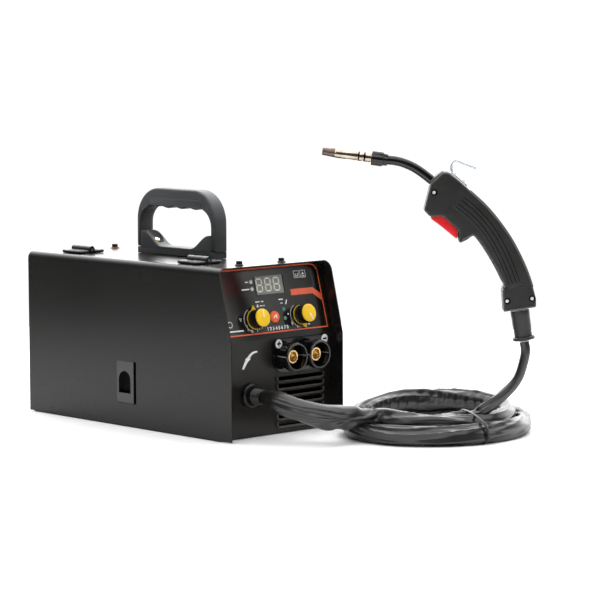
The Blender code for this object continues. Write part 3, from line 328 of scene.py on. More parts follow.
SEGMENT = finish_of(
    "display_segment", (0.74, 0.72, 0.62), 0.30, second=(0.66, 0.64, 0.55), patches=90, relief=0.03,
)
LAMP_GREEN = finish_of(
    "green_lamp", (0.10, 0.26, 0.17), 0.14, second=(0.08, 0.20, 0.13), patches=200, coat=0.6,
)
LAMP_WHITE = finish_of(
    "white_lamp", (0.70, 0.68, 0.64), 0.18, second=(0.58, 0.56, 0.52), patches=200, coat=0.6,
)
SHEATH = sheath_finish()


# ---- making pieces ----


def piece(name, bm, material, body, replaces=(), sharp=32):
    """Turns a bmesh into a shaded piece that rides on a body."""
    bmesh.ops.recalc_face_normals(bm, faces=bm.faces)
    for face in bm.faces:
        face.smooth = True
    for edge in bm.edges:
        edge.smooth = edge.calc_face_angle(0) < math.radians(sharp)
    mesh = bpy.data.meshes.new(name)
    bm.to_mesh(mesh)
    bm.free()
    obj = bpy.data.objects.new(name, mesh)
    materials = material if isinstance(material, (list, tuple)) else [material]
    for one in materials:
        mesh.materials.append(one)
    bpy.context.scene.collection.objects.link(obj)
    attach(obj, body)
    if replaces:
        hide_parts(*replaces)
    return obj


def aim(at, direction):
    """A matrix that puts a thing's own +Z along a direction."""
    return Matrix.Translation(at) @ Vector(direction).to_track_quat("Z", "Y").to_matrix().to_4x4()


def lathe(bm, profile, matrix, steps=72, closed=False, ribs=0, depth=0.0, index=0):
    """Turns (radius, height) points. With ribs, each point's radius dips by depth between them."""
    rings = []
    for radius, height in profile:
        if radius < 1e-7:
            rings.append([bm.verts.new(matrix @ Vector((0, 0, height)))])
            continue
        ring = []
        for k in range(steps):
            angle = 2 * math.pi * k / steps
            r = radius - depth * (0.5 - 0.5 * math.cos(angle * ribs)) ** 2 if ribs else radius
            ring.append(bm.verts.new(matrix @ Vector((r * math.cos(angle), r * math.sin(angle), height))))
        rings.append(ring)
    pairs = list(zip(rings, rings[1:])) + ([(rings[-1], rings[0])] if closed else [])
    for upper, lower in pairs:
        for k in range(steps):
            corners = (
                upper[k % len(upper)],
                lower[k % len(lower)],
                lower[(k + 1) % len(lower)],
                upper[(k + 1) % len(upper)],
            )
            corners = list(dict.fromkeys(corners))
            if len(corners) > 2:
                bm.faces.new(corners).material_index = index
    return bm


def arc(x, y, radius, start, end, sides=8):
    angles = [math.radians(start + (end - start) * i / sides) for i in range(sides + 1)]
    return [(x + radius * math.cos(a), y + radius * math.sin(a)) for a in angles]


def circle(radius, x=0.0, y=0.0, sides=40):
    return arc(x, y, radius, 0, 360 - 360 / sides, sides - 1)


def rectangle(x0, y0, x1, y1, corner=0.0, sides=6):
    if not corner:
        return [(x0, y0), (x1, y0), (x1, y1), (x0, y1)]
    outline = arc(x0 + corner, y0 + corner, corner, 180, 270, sides)
    outline += arc(x1 - corner, y0 + corner, corner, 270, 360, sides)
    outline += arc(x1 - corner, y1 - corner, corner, 0, 90, sides)
    return outline + arc(x0 + corner, y1 - corner, corner, 90, 180, sides)


def stroke(points, width):
    """The outline of a line of some width through points."""
    sides = []
    for sign in (1, -1):
        side = []
        for i, (x, y) in enumerate(points):
            before = points[max(0, i - 1)]
            after = points[min(len(points) - 1, i + 1)]
            dx, dy = after[0] - before[0], after[1] - before[1]
            size = math.hypot(dx, dy)
            side.append((x - sign * dy / size * width / 2, y + sign * dx / size * width / 2))
        sides.append(side)
    return sides[0] + sides[1][::-1]


def add_plate(bm, outlines, thickness, matrix, rounding=0.0, fineness=3, index=0):
    """Adds a flat plate to a bmesh. The first outline is its edge and the others are its holes."""
    curve = bpy.data.curves.new("outline", "CURVE")
    curve.dimensions = "2D"
    curve.fill_mode = "BOTH"
    curve.extrude = thickness / 2 - rounding
    curve.bevel_depth = rounding
    curve.bevel_resolution = fineness
    curve.offset = -rounding
    for outline in outlines:
        spline = curve.splines.new("POLY")
        spline.points.add(len(outline) - 1)
        for point, (x, y) in zip(spline.points, outline):
            point.co = (x, y, 0, 1)
        spline.use_cyclic_u = True
    holder = bpy.data.objects.new("outline", curve)
    bpy.context.scene.collection.objects.link(holder)
    bpy.context.view_layer.update()
    mesh = bpy.data.meshes.new_from_object(holder.evaluated_get(bpy.context.evaluated_depsgraph_get()))
    bpy.data.objects.remove(holder, do_unlink=True)
    mesh.transform(matrix)
    known = len(bm.faces)
    bm.from_mesh(mesh)
    bm.faces.ensure_lookup_table()
    for face in bm.faces[known:]:
        face.material_index = index
    bpy.data.meshes.remove(mesh)
    bmesh.ops.remove_doubles(bm, verts=bm.verts, dist=1e-6)
    return bm


def add_box(bm, low, high, matrix=Matrix(), round_by=0.0, index=0):
    low, high = Vector(low), Vector(high)
    made = bmesh.ops.create_cube(bm, size=1)["verts"]
    bmesh.ops.scale(bm, vec=high - low, verts=made)
    bmesh.ops.translate(bm, vec=(low + high) / 2, verts=made)
    faces = {face for vert in made for face in vert.link_faces}
    if round_by:
        edges = {edge for face in faces for edge in face.edges}
        result = bmesh.ops.bevel(
            bm, geom=list(edges), offset=round_by, segments=3, affect="EDGES", profile=0.5,
        )
        made = list({v for face in result["faces"] for v in face.verts} | {v for v in made if v.is_valid})
        faces = {face for vert in made for face in vert.link_faces}
    bmesh.ops.transform(bm, matrix=matrix, verts=made)
    for face in faces:
        face.material_index = index
    return bm


def smooth_route(points, spacing):
    """Points of a smooth curve (Catmull-Rom) through the route's own points, about a spacing apart."""
    knots = [Vector(p) for p in points]
    knots = [2 * knots[0] - knots[1]] + knots + [2 * knots[-1] - knots[-2]]
    route = []
    for a, b, c, d in zip(knots, knots[1:], knots[2:], knots[3:]):
        steps = max(1, round((c - b).length / spacing))
        for i in range(steps):
            t = i / steps
            route.append(
                b
                + (c - a) * (t / 2)
                + (2 * a - 5 * b + 4 * c - d) * (t * t / 2)
                + (3 * b - a - 3 * c + d) * (t**3 / 2)
            )
    return route + [knots[-2]]


def add_tube(bm, points, size, steps=20, index=0, shape=None):
    """Adds a capped tube. size is its radius, or a function of the point's number, and shape alters a point
    of its surface."""
    radius_at = size if callable(size) else lambda i: size
    frames = []
    side = None
    for i, point in enumerate(points):
        along = (points[min(i + 1, len(points) - 1)] - points[max(i - 1, 0)]).normalized()
        if side is None:
            side = along.cross(UP if abs(along.z) < 0.9 else Vector((1, 0, 0))).normalized()
        side = (side - along * side.dot(along)).normalized()
        frames.append((point, side, along.cross(side)))
    rings = []
    for i, (point, x, y) in enumerate(frames):
        ring = []
        for k in range(steps):
            angle = 2 * math.pi * k / steps
            offset = (x * math.cos(angle) + y * math.sin(angle)) * radius_at(i)
            if shape:
                offset = shape(i, point, offset)
            ring.append(bm.verts.new(point + offset))
        rings.append(ring)
    for a, b in zip(rings, rings[1:]):
        for k in range(steps):
            bm.faces.new((a[k], a[(k + 1) % steps], b[(k + 1) % steps], b[k])).material_index = index
    for ring in (rings[0], rings[-1]):
        bm.faces.new(ring).material_index = index
    return bm


ALONG_X = Matrix(((0, 0, 1), (1, 0, 0), (0, 1, 0))).to_4x4()
FACING_FRONT = Matrix(((1, 0, 0), (0, 0, -1), (0, 1, 0)))
ON_SLOPE = Matrix.Rotation(-SLOPE, 3, "X") @ FACING_FRONT
FOLD = Vector((0, PANEL_Y, FOLD_Z))
SLOPE_UP = ON_SLOPE @ Vector((0, 1, 0))
SLOPE_OUT = ON_SLOPE @ Vector((0, 0, 1))
SLOPE_LENGTH = (HEIGHT - FOLD_Z) / math.cos(SLOPE)


def slope_matrix(out=0.0, x=0.0, up=0.0):
    """Puts a plate's own x and y on the control panel: across, and up from the fold."""
    at = FOLD + Vector((x, 0, 0)) + SLOPE_UP * up + SLOPE_OUT * out
    return Matrix.Translation(at) @ ON_SLOPE.to_4x4()


def front_matrix(out=0.0, x=0.0, z=0.0):
    return Matrix.Translation((x, PANEL_Y - out, z)) @ FACING_FRONT.to_4x4()


# ---- torch hose ----

LEAD_ROUTE = [
    (-0.0790, -0.1140, 0.0490),
    (-0.0640, -0.1250, 0.0435),
    (-0.0430, -0.1315, 0.0370),
    (-0.0180, -0.1330, 0.0320),
]
RISER_ROUTE = [
    (0.1520, -0.0975, 0.0265),
    (0.1660, -0.0965, 0.0350),
    (0.1786, -0.0957, 0.0450),
    (0.1911, -0.0957, 0.0560),
    (0.2001, -0.0958, 0.0655),
    (0.2066, -0.0960, 0.0760),
    (0.2110, -0.0960, 0.0900),
]
SHEATH_REACH = 0.0156  # the farthest that a fold stands from the centreline
PLEAT_PITCH, PLEAT_DEPTH = 0.0150, 0.0044
CREASE, SECOND_CREASE, SLACK, DENT, PINCH = 0.0038, 0.0010, 0.0004, 0.0022, 0.0009
SHRINK = 0.0018
RELIEF_FOOT = (0.2121, 0.1180)
RELIEF_TOP = (0.2066, 0.1555)
# the coil's turns: degrees round from the left, radius, height of the hose's middle
COIL_ROUTE = [
    (40, 0.0950, 0.0265),
    (62, 0.0885, 0.0235),
    (85, 0.0860, 0.0215),
    (110, 0.0860, 0.0205),
    (140, 0.0860, 0.0205),
    (170, 0.0865, 0.0220),
    (200, 0.0875, 0.0250),
    (230, 0.0885, 0.0275),
    (260, 0.0890, 0.0285),
    (290, 0.0895, 0.0280),
    (320, 0.0925, 0.0240),
    (345, 0.0985, 0.0180),
    (370, 0.1035, 0.0130),
    (395, 0.1060, 0.0115),
    (425, 0.1065, 0.0115),
    (455, 0.1060, 0.0115),
    (485, 0.1060, 0.0115),
    (515, 0.1060, 0.0115),
    (545, 0.1060, 0.0115),
    (575, 0.1060, 0.0115),
    (605, 0.1060, 0.0115),
    (635, 0.1045, 0.0115),
    (660, 0.0985, 0.0120),
    (685, 0.0890, 0.0125),
    (710, 0.0790, 0.0130),
    (735, 0.0705, 0.0140),
    (760, 0.0640, 0.0160),
    (785, 0.0610, 0.0190),
    (808, 0.0620, 0.0215),
]


def torch_plane(s, z, out=0.0):
    return hose_point(s, TORCH_T - out, z)


def relief_point(up):
    foot, top = torch_plane(*RELIEF_FOOT), torch_plane(*RELIEF_TOP)
    return foot + (top - foot).normalized() * up


def coil_point(degrees, radius, z):
    """A point of the coil, whose turns are stretched a little along X."""
    middle = hose_point(*COIL_MIDDLE, 0)
    angle = math.radians(degrees)
    out = ACROSS * (-math.cos(angle)) - AWAY * math.sin(angle)
    return middle + Vector((out.x * COIL_STRETCH[0], out.y * COIL_STRETCH[1], 0)) * radius + UP * z


def hose_route():
    start = GLAND - Vector((0, GLAND_OUT + 0.0008, 0))
    points = [start, start + Vector((0.0008, -0.012, -0.0008))]
    points += [hose_point(*p) for p in LEAD_ROUTE]
    points += [coil_point(*p) for p in COIL_ROUTE]
    points += [hose_point(*p) for p in RISER_ROUTE]
    points += [relief_point(-0.013), relief_point(-0.0006)]
    return smooth_route(points, 0.0022)


def ridge(value, sharpness):
    """1 along a noise's zero line, falling away to both sides: the rounded crest of a crease."""
    return max(0.0, 1 - math.sqrt(value * value + 0.0012) * sharpness) ** 2


def hose():
    """The hose in its loose sheath: pleats bunch on the inside of its bends, long creases run along it, it
    lies flattened on the floor, and it narrows to the bare cable at the torch."""
    route = hose_route()
    lengths = [0.0]
    for a, b in zip(route, route[1:]):
        lengths.append(lengths[-1] + (b - a).length)
    total = lengths[-1]
    middle = hose_point(*COIL_MIDDLE, 0.015)

    def radius(i):
        s, left = lengths[i], total - lengths[i]
        size = 0.0110
        if s < 0.055:
            size = 0.0082 + 0.0044 * math.sin(min(1.0, s / 0.045) * math.pi / 2)
        elif s < 0.14:
            size = 0.0126 - 0.0016 * (s - 0.055) / 0.085
        if left < 0.235:
            size = min(size, 0.0058 + 0.0052 * max(0.0, (left - 0.050) / 0.185) ** 0.8)
        return size

    def shape(i, point, offset):
        s, left = lengths[i], total - lengths[i]
        unit = offset.normalized()
        loose = min(1.0, s / 0.03) * min(1.0, max(0.0, (left - 0.055) / 0.060))
        level = Vector((middle.x - point.x, middle.y - point.y, 0)).normalized()
        inner = max(0.0, unit.dot(level))
        swell = noise.noise(Vector((s * 9, 4.2, 1.1)))
        pinch = noise.noise(Vector((s * 15, 7.7, 6.1)))
        around = math.atan2(unit.z, unit.dot(level))
        wander = 3.0 * noise.noise(Vector((s * 20, 9, 2)))
        phase = s * 2 * math.pi / PLEAT_PITCH + wander + 0.9 * math.sin(around)
        pleat = 0.45 - (math.cos(phase / 2) ** 2 + 0.02) ** 0.8
        strong = min(1.3, max(0.0, 0.75 + 1.6 * noise.noise(Vector((s * 13, 2, 8)))))
        outside = PLEAT_DEPTH * pleat * inner**2.4 * strong
        twist = 2.2 * math.sin(s * 6 + 1.2 * noise.noise(Vector((s * 5, 3, 3)))) + 6 * s
        turn = Vector((0, math.cos(around + twist), math.sin(around + twist)))
        back = Vector((0, math.cos(around - twist * 1.4), math.sin(around - twist * 1.4)))
        crease = ridge(noise.noise(Vector((s * 4.5, 1.2 * turn.y + 11, 1.2 * turn.z))), 2.8)
        second = ridge(noise.noise(Vector((s * 10 + 5, 1.1 * back.y, 1.1 * back.z + 3))), 2.6)
        dent = noise.noise(Vector((s * 7, 1.0 * turn.y + 2, 1.0 * turn.z)))
        slack = noise.noise(Vector((s * 40, 1.2 * back.y + 4, 1.2 * back.z)))
        folds = CREASE * crease + SECOND_CREASE * second + SLACK * slack
        outside += (1 - 0.7 * inner) * folds + DENT * dent
        outside += PINCH * pinch - SHRINK
        moved = unit * (offset.length + outside * loose)
        upright = 1 + loose * (0.15 + 0.10 * swell)
        moved.z *= upright
        moved.x *= 1 - 0.06 * loose
        moved.y *= 1 - 0.06 * loose
        moved.z = max(moved.z, 0.0004 - point.z)
        return moved * min(1.0, SHEATH_REACH / moved.length)

    bm = add_tube(bmesh.new(), route, radius, 64, shape=shape)
    inside = [v for v in bm.verts if not v.is_boundary]
    for _ in range(2):
        bmesh.ops.smooth_vert(bm, verts=inside, factor=0.5, use_axis_x=True, use_axis_y=True, use_axis_z=True)
    made = piece(
        "torch_hose",
        bm,
        SHEATH,
        "cabinet",
        ("torch_cable_lead", "torch_cable_coil", "torch_cable_riser"),
        sharp=75,
    )
    tie_piece = tie()
    relief = strain_relief()


def tie():
    """A cable tie drawn tight round the three strands, with its head and cut tail."""
    middle = hose_point(*COIL_MIDDLE, 0)
    crossing = hose_point(0.1440, -0.0985, 0)
    outward = (crossing - middle).normalized()
    loop = [(0.1128, 0.0135), (0.1105, 0.0045), (0.1020, 0.0006), (0.0900, 0.0030), (0.0720, 0.0080)]
    loop += [(0.0580, 0.0120), (0.0495, 0.0190), (0.0500, 0.0280), (0.0565, 0.0345), (0.0660, 0.0352)]
    loop += [(0.0830, 0.0325), (0.0960, 0.0285), (0.1075, 0.0225)]
    ring = [middle + outward * r + UP * z for r, z in loop]
    route = smooth_route(ring + [ring[0]], 0.003)
    across = outward.cross(UP)

    def flat(i, point, offset):
        wide = across * offset.dot(across) * 2.6
        return wide + (offset - across * offset.dot(across)) * 0.9

    bm = add_tube(bmesh.new(), route, 0.0008, 12, shape=flat)
    head = middle + outward * 0.1142 + UP * 0.0120
    turn = Matrix((across, UP, outward)).transposed().to_4x4()
    add_box(
        bm, (-0.0026, -0.0024, -0.0016), (0.0026, 0.0024, 0.0016), Matrix.Translation(head) @ turn, 0.0005,
    )
    add_box(
        bm, (-0.0016, -0.0075, -0.0004), (0.0016, -0.0020, 0.0004), Matrix.Translation(head) @ turn, 0.0001,
    )
    return piece("hose_tie", bm, BLACK_PLASTIC, "cabinet", ("cable_tie",))


def strain_relief():
    """The rubber sleeve under the torch's handle: stepped and tapering, with a rolled collar at its foot."""
    profile = [
        (0.0, 0.0362), (0.0112, 0.0362), (0.0113, 0.0300), (0.0110, 0.0292), (0.0109, 0.0150),
        (0.0106, 0.0142),
    ]
    profile += [(0.0106, 0.0056)] + arc(0.0112, 0.0028, 0.0022, 110, -90, 9) + [(0.0078, 0.0), (0.0, 0.0)]
    bm = lathe(bmesh.new(), profile, aim(relief_point(0), relief_point(1) - relief_point(0)), 56)
    return piece("relief_sleeve", bm, RUBBER, "cabinet", ("torch_strain_relief",), 50)


hose()


# ---- cabinet sheets ----


def front_edge(z):
    return FRONT + max(0.0, z - FOLD_Z) / (HEIGHT - FOLD_Z) * LEAN


def bent_sheet(bm, path):
    """A sheet bent along (x, z) points, from the leaning front edge to the rear, thick inwards."""
    inner = []
    for i, (x, z) in enumerate(path):
        before, after = path[max(0, i - 1)], path[min(len(path) - 1, i + 1)]
        along = Vector((after[0] - before[0], after[1] - before[1])).normalized()
        inner.append((x + along.y * SHEET, z - along.x * SHEET))
    loop = path + inner[::-1]
    front = [bm.verts.new((x, front_edge(min(z, HEIGHT)), z)) for x, z in loop]
    back = [bm.verts.new((x, REAR, z)) for x, z in loop]
    count = len(loop)
    for i in range(count):
        j = (i + 1) % count
        bm.faces.new((front[i], front[j], back[j], back[i]))
    half = count // 2
    for ring in (front, back):
        for i in range(half - 1):
            bm.faces.new((ring[i], ring[i + 1], ring[count - 2 - i], ring[count - 1 - i]))
    return bm


def carve(bm, cutter_bm, solver="EXACT"):
    """Cuts one bmesh away from another."""
    objects = []
    for one, name in ((bm, "solid"), (cutter_bm, "cutter")):
        mesh = bpy.data.meshes.new(name)
        bmesh.ops.recalc_face_normals(one, faces=one.faces)
        one.to_mesh(mesh)
        one.free()
        objects.append(bpy.data.objects.new(name, mesh))
    sheet, cutter = objects
    for obj in (sheet, cutter):
        bpy.context.scene.collection.objects.link(obj)
    modifier = sheet.modifiers.new("window", "BOOLEAN")
    modifier.operation = "DIFFERENCE"
    modifier.solver = solver
    modifier.object = cutter
    bpy.context.view_layer.update()
    result = bpy.data.meshes.new_from_object(sheet.evaluated_get(bpy.context.evaluated_depsgraph_get()))
    for obj in (sheet, cutter):
        bpy.data.objects.remove(obj, do_unlink=True)
    bm = bmesh.new()
    bm.from_mesh(result)
    return bm


def cabinet_sheets():
    """The hood, and the door with its latch opening."""
    cover = [(RIGHT, 0.0010), (RIGHT, FOLD_Z)] + arc(RIGHT - 0.012, HEIGHT - 0.012, 0.012, 0, 90, 20)
    cover += [(HINGE_X + GAP, HEIGHT)]
    bm = bent_sheet(bmesh.new(), cover[::-1])
    piece("hood_sheet", bm, POWDER, "cabinet", ("top_cover",), 25)
    door = [(HINGE_X - GAP, HEIGHT)] + arc(LEFT + 0.009, HEIGHT - 0.009, 0.009, 90, 180, 18)
    door += [(LEFT, FOLD_Z), (LEFT, 0.0012)]
    bm = bent_sheet(bmesh.new(), door[::-1])
    bm = carve(bm, add_box(bmesh.new(), (LEFT - 0.01, -0.0190, 0.02895), (LEFT + 0.006, 0.0178, 0.08105)))
    piece("door_sheet", bm, DOOR_COAT, "door", ("side_door",), 25)


NODE_FINISHES = {
    "front_panel": PANEL_PAINT_AND_REFLECTION,
    "rear_panel": POWDER,
    "base_pan": POWDER,
    "divider_panel": GALVANISED,
    "hinge_leaf_cover_front": CAST,
    "hinge_leaf_cover_rear": CAST,
    "hinge_leaf_door_front": CAST,
    "hinge_leaf_door_rear": CAST,
    "hinge_pin_front": STEEL,
    "hinge_pin_rear": STEEL,
    "latch_frame": CAST,
    "latch_slider": BLACK_GLOSS,
    "panel_overlay": OVERLAY,
    "display_module": WINDOW,
    "control_board": BOARD,
    "main_board": BOARD,
    "heat_sink": ALUMINIUM,
    "feed_motor": STEEL,
    "feeder_plate": ALUMINIUM,
    "drive_roller": STEEL,
    "pressure_roller": STEEL,
    "pressure_arm": BLACK_PLASTIC,
    "tension_knob": BLACK_PLASTIC,
    "spool_spindle": BLACK_PLASTIC,
    "spool_nut": MOULDED,
    "wire_spool": NYLON,
    "transformer": FERRITE,
    "fan_frame": BLACK_PLASTIC,
    "fan_rotor": BLACK_PLASTIC,
    "power_cord_gland": RUBBER,
    "power_switch": BLACK_PLASTIC,
    "power_switch_rocker": RED,
    "gas_valve": BRASS,
    "socket_bezel": BLACK_GLOSS,
    "contact_tip": COPPER,
    "mode_button": ORANGE,
    "torch_neck": BLACK_GLOSS,
    "torch_trigger": RED,
}


def dress_nodes():
    """Gives the CAD nodes that are shown as they are their finishes."""
    for name, finish in NODE_FINISHES.items():
        for material_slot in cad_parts[name].material_slots:
            material_slot.material = finish


cabinet_sheets()
dress_nodes()


def louvres():
    """Pressed louvres: under each slot a lip stands out and closes it at both ends, so it is open upwards."""
    bm = bmesh.new()
    for i in range(7):
        z = 0.0670 - i * 0.0092
        low, high, left, right = z - 0.0032, z + 0.0026, -0.0008, 0.0753
        path = [(left, high)] + arc(left + 0.0024, low + 0.0024, 0.0024, 180, 270, 6)
        path += arc(right - 0.0024, low + 0.0024, 0.0024, 270, 360, 6) + [(right, high)]
        add_plate(bm, [stroke(path, 0.0011)], 0.0030, front_matrix(0.0016), 0.0004, 2)
        skirt = [
            (0.0002, low + 0.0002), (0.0026, low + 0.0002), (0.0022, low - 0.0006), (0.0002, low - 0.0022),
        ]
        rings = []
        for x in (left + 0.002, left + 0.0032, right - 0.0032, right - 0.002):
            rings.append([bm.verts.new((x, PANEL_Y - out, height)) for out, height in skirt])
        for first, second in zip(rings, rings[1:]):
            for k in range(4):
                bm.faces.new((first[k], first[(k + 1) % 4], second[(k + 1) % 4], second[k]))
        bm.faces.new(rings[0])
        bm.faces.new(rings[-1])
    # The lips take the light grey finish: a painted highlight.
    piece("louvre_lips", bm, LOUVRE_LIP_HIGHLIGHT, "cabinet", sharp=40)


louvres()


HINGES_Y = (-0.098, 0.124)
HINGE_TOP = HEIGHT + 0.0041
HINGE_SCREW_X, HINGE_SCREW_Y = 0.0115, 0.011
HINGE_SCREW = [(0, 0.0002), (0.0010, 0.0001), (0.0014, 0.0005), (0.0028, 0.0005), (0.0033, 0.0), (0, -0.0010)]


def hinge_screws(name, side, body):
    """The four countersunk screws in one side's leaves of both hinges."""
    bm = bmesh.new()
    for y in HINGES_Y:
        for shift in (-HINGE_SCREW_Y, HINGE_SCREW_Y):
            at = aim((HINGE_X + side * HINGE_SCREW_X, y + shift, HINGE_TOP), UP)
            lathe(bm, HINGE_SCREW, at, 24)
    piece(name, bm, CAST, body)


def top_screws():
    """Black hexagon-headed screws with washers on the hood, one of them on an orange washer."""
    bm = bmesh.new()
    for x, y in ((0.0155, 0.149), (-0.042, -0.153), (0.025, -0.155)):
        at = Vector((x, y, HEIGHT))
        turn = Matrix.Translation(at) @ Matrix.Rotation(0.4 + 9 * x, 4, "Z")
        lathe(bm, [(0, 0.0016), (0.0046, 0.0016), (0.0053, 0.0009), (0.0054, 0.0), (0, 0.0)], turn, 40)
        lathe(bm, [(0, 0.0056), (0.0034, 0.0056), (0.0041, 0.0050), (0.0041, 0.0014), (0, 0.0014)], turn, 6)
        lathe(bm, [(0, 0.0057), (0.0018, 0.0057), (0.0020, 0.0055), (0, 0.0055)], turn, 24)
    piece("hood_screws", bm, CAST, "cabinet", sharp=28)
    bm = bmesh.new()
    at = aim((0.0155, 0.149, HEIGHT), UP)
    lathe(bm, [(0.0050, 0.0007), (0.0066, 0.0007), (0.0067, 0.0), (0.0050, 0.0)], at, 40, closed=True)
    piece("orange_washer", bm, ORANGE, "cabinet")
    hinge_screws("hinge_screws_cover", 1, "cabinet")
    hinge_screws("hinge_screws_door", -1, "door")


def side_screws():
    """Pan-headed screws with cross slots on the rear panel and along the hood's right side."""
    spots = [((x, REAR - 0.0030, z), (0, 1, 0)) for x in (-0.082, 0.082) for z in (0.014, 0.192)]
    spots += [((RIGHT, y, 0.010), (1, 0, 0)) for y in (-0.150, -0.050, 0.050, 0.150)]
    bm = bmesh.new()
    for at, direction in spots:
        matrix = aim(at, direction)
        dome = [
            (0.0, 0.0019), (0.0016, 0.0018), (0.0029, 0.0012), (0.0034, 0.0003), (0.0034, -0.0012),
            (0, -0.0012),
        ]
        lathe(bm, dome, matrix, 28)
        # The cross slots are dark bars laid on the domes, not cut in: their dark colour is painted shade.
        for turn in (0.3, 0.3 + math.pi / 2):
            slot = matrix @ Matrix.Rotation(turn, 4, "Z")
            add_box(bm, (-0.0017, -0.0003, 0.0017), (0.0017, 0.0003, 0.00195), slot, index=1)
    piece("case_screws", bm, [STEEL, DARK_INK_AND_SHADE], "cabinet", sharp=40)


top_screws()
side_screws()


# ---- control panel ----

PRINT_OUT, PRINT_THICKNESS = 0.00085, 0.00016
DIGITS_OUT = 0.00087
PER_METRE = 1000  # the front is laid out in millimetres


def panel_point(u, v):
    """A point of the sloped panel in millimetres from its left edge and down from its top."""
    return (u / PER_METRE + LEFT, SLOPE_LENGTH - v / PER_METRE)


def panel_print(name, shapes, finish, out=PRINT_OUT):
    """Thin raised print on the control panel."""
    bm = bmesh.new()
    for shape in shapes:
        add_plate(bm, [[panel_point(u, v) for u, v in shape]], PRINT_THICKNESS, slope_matrix(out))
    return piece(name, bm, finish, "cabinet", sharp=40)


def border():
    """The orange border line, with the wide tab that leaves its right side."""
    top = stroke([(14, 5.6), (60, 5.6), (120, 5.6), (164, 5.6), (171.5, 7.6), (175.2, 14), (177.0, 84)], 1.7)
    bottom = stroke([(10, 84.0), (60, 84.0), (120, 84.0), (177.6, 84.0)], 1.7)
    tab = [(126, 34.5), (163, 34.5), (176.3, 44), (176.8, 53), (161.5, 42.0), (126, 42.0)]
    return [top, bottom, tab]


def seven_segments(x, y, width, height):
    """The segments of one digit, as hexagonal bars."""
    w, h, b = width, height / 2, 1.85
    shapes = []
    bars = [((0, 0), (w, 0)), ((0, h), (w, h)), ((0, 2 * h), (w, 2 * h))]
    bars += [((0, 0), (0, h)), ((w, 0), (w, h)), ((0, h), (0, 2 * h)), ((w, h), (w, 2 * h))]
    for (x0, y0), (x1, y1) in bars:
        dx, dy = x1 - x0, y1 - y0
        size = math.hypot(dx, dy)
        dx, dy = dx / size, dy / size
        gap, half = 0.45, b / 2
        nx, ny = -dy, dx
        a0, a1 = gap, size - gap
        points = [
            (a0, 0), (a0 + half, half), (a1 - half, half), (a1, 0), (a1 - half, -half), (a0 + half, -half),
        ]
        shapes.append([(x + x0 + dx * s + nx * t, y + y0 + dy * s + ny * t) for s, t in points])
    return shapes


def display():
    shapes = []
    for x in (73.0, 87.0, 101.0):
        shapes += seven_segments(x, 18.6, 8.6, 15.2)
    panel_print("display_segments", shapes, SEGMENT, 0.00045)
    x0, y0 = panel_point(70.6, 38.2)
    x1, y1 = panel_point(116.9, 15.0)
    bm = add_plate(
        bmesh.new(),
        [
            rectangle(x0 - 0.0012, y0 - 0.0012, x1 + 0.0012, y1 + 0.0012, 0.0014),
            rectangle(x0 + 0.0004, y0 + 0.0004, x1 - 0.0004, y1 - 0.0004),
        ],
        0.0006,
        slope_matrix(0.0010),
    )
    piece("display_rim", bm, BLACK_GLOSS, "cabinet", sharp=40)


def lamps():
    for name, finish, x, ups in (
        ("green_lamps", LAMP_GREEN, 0.0182, (0.0330, 0.0218)),
        ("white_lamps", LAMP_WHITE, -0.0272, (0.0694, 0.0607)),
    ):
        bm = bmesh.new()
        for up in ups:
            at = FOLD + Vector((x, 0, 0)) + SLOPE_UP * up
            dome = [
                (0.0025 * math.cos(a), 0.0009 + 0.0014 * math.sin(a))
                for a in (1.57, 1.2, 0.9, 0.6, 0.3, 0)
            ]
            dome[0] = (0.0, dome[0][1])
            lathe(bm, dome + [(0.0025, -0.004), (0, -0.004)], aim(at, SLOPE_OUT), 28)
        piece(name, bm, finish, "cabinet", sharp=50)


def dial_scale(x):
    """A grey arc beside a knob, with ticks."""
    u = (x - LEFT) * PER_METRE
    v = (SLOPE_LENGTH - KNOB_UP) * PER_METRE
    shapes = [stroke([(u + a, v - b) for a, b in arc(0, 0, 13.9, 115, 262, 24)], 1.15)]
    for k in range(8):
        angle = math.radians(225 + 90 * k / 7)
        a, b = math.cos(angle), math.sin(angle)
        shapes.append(stroke([(u + 13.3 * a, v - 13.3 * b), (u + 15.4 * a, v - 15.4 * b)], 0.6))
    return shapes


def text_shapes(bm, words, size, matrix):
    """Digits as thin raised print."""
    curve = bpy.data.curves.new("digits", "FONT")
    curve.body = words
    curve.size = size
    curve.align_x = "CENTER"
    curve.extrude = 0.00006
    curve.offset = 0.00014
    holder = bpy.data.objects.new("digits", curve)
    bpy.context.scene.collection.objects.link(holder)
    bpy.context.view_layer.update()
    mesh = bpy.data.meshes.new_from_object(holder.evaluated_get(bpy.context.evaluated_depsgraph_get()))
    bpy.data.objects.remove(holder, do_unlink=True)
    mesh.transform(matrix)
    bm.from_mesh(mesh)
    bpy.data.meshes.remove(mesh)
    return bm


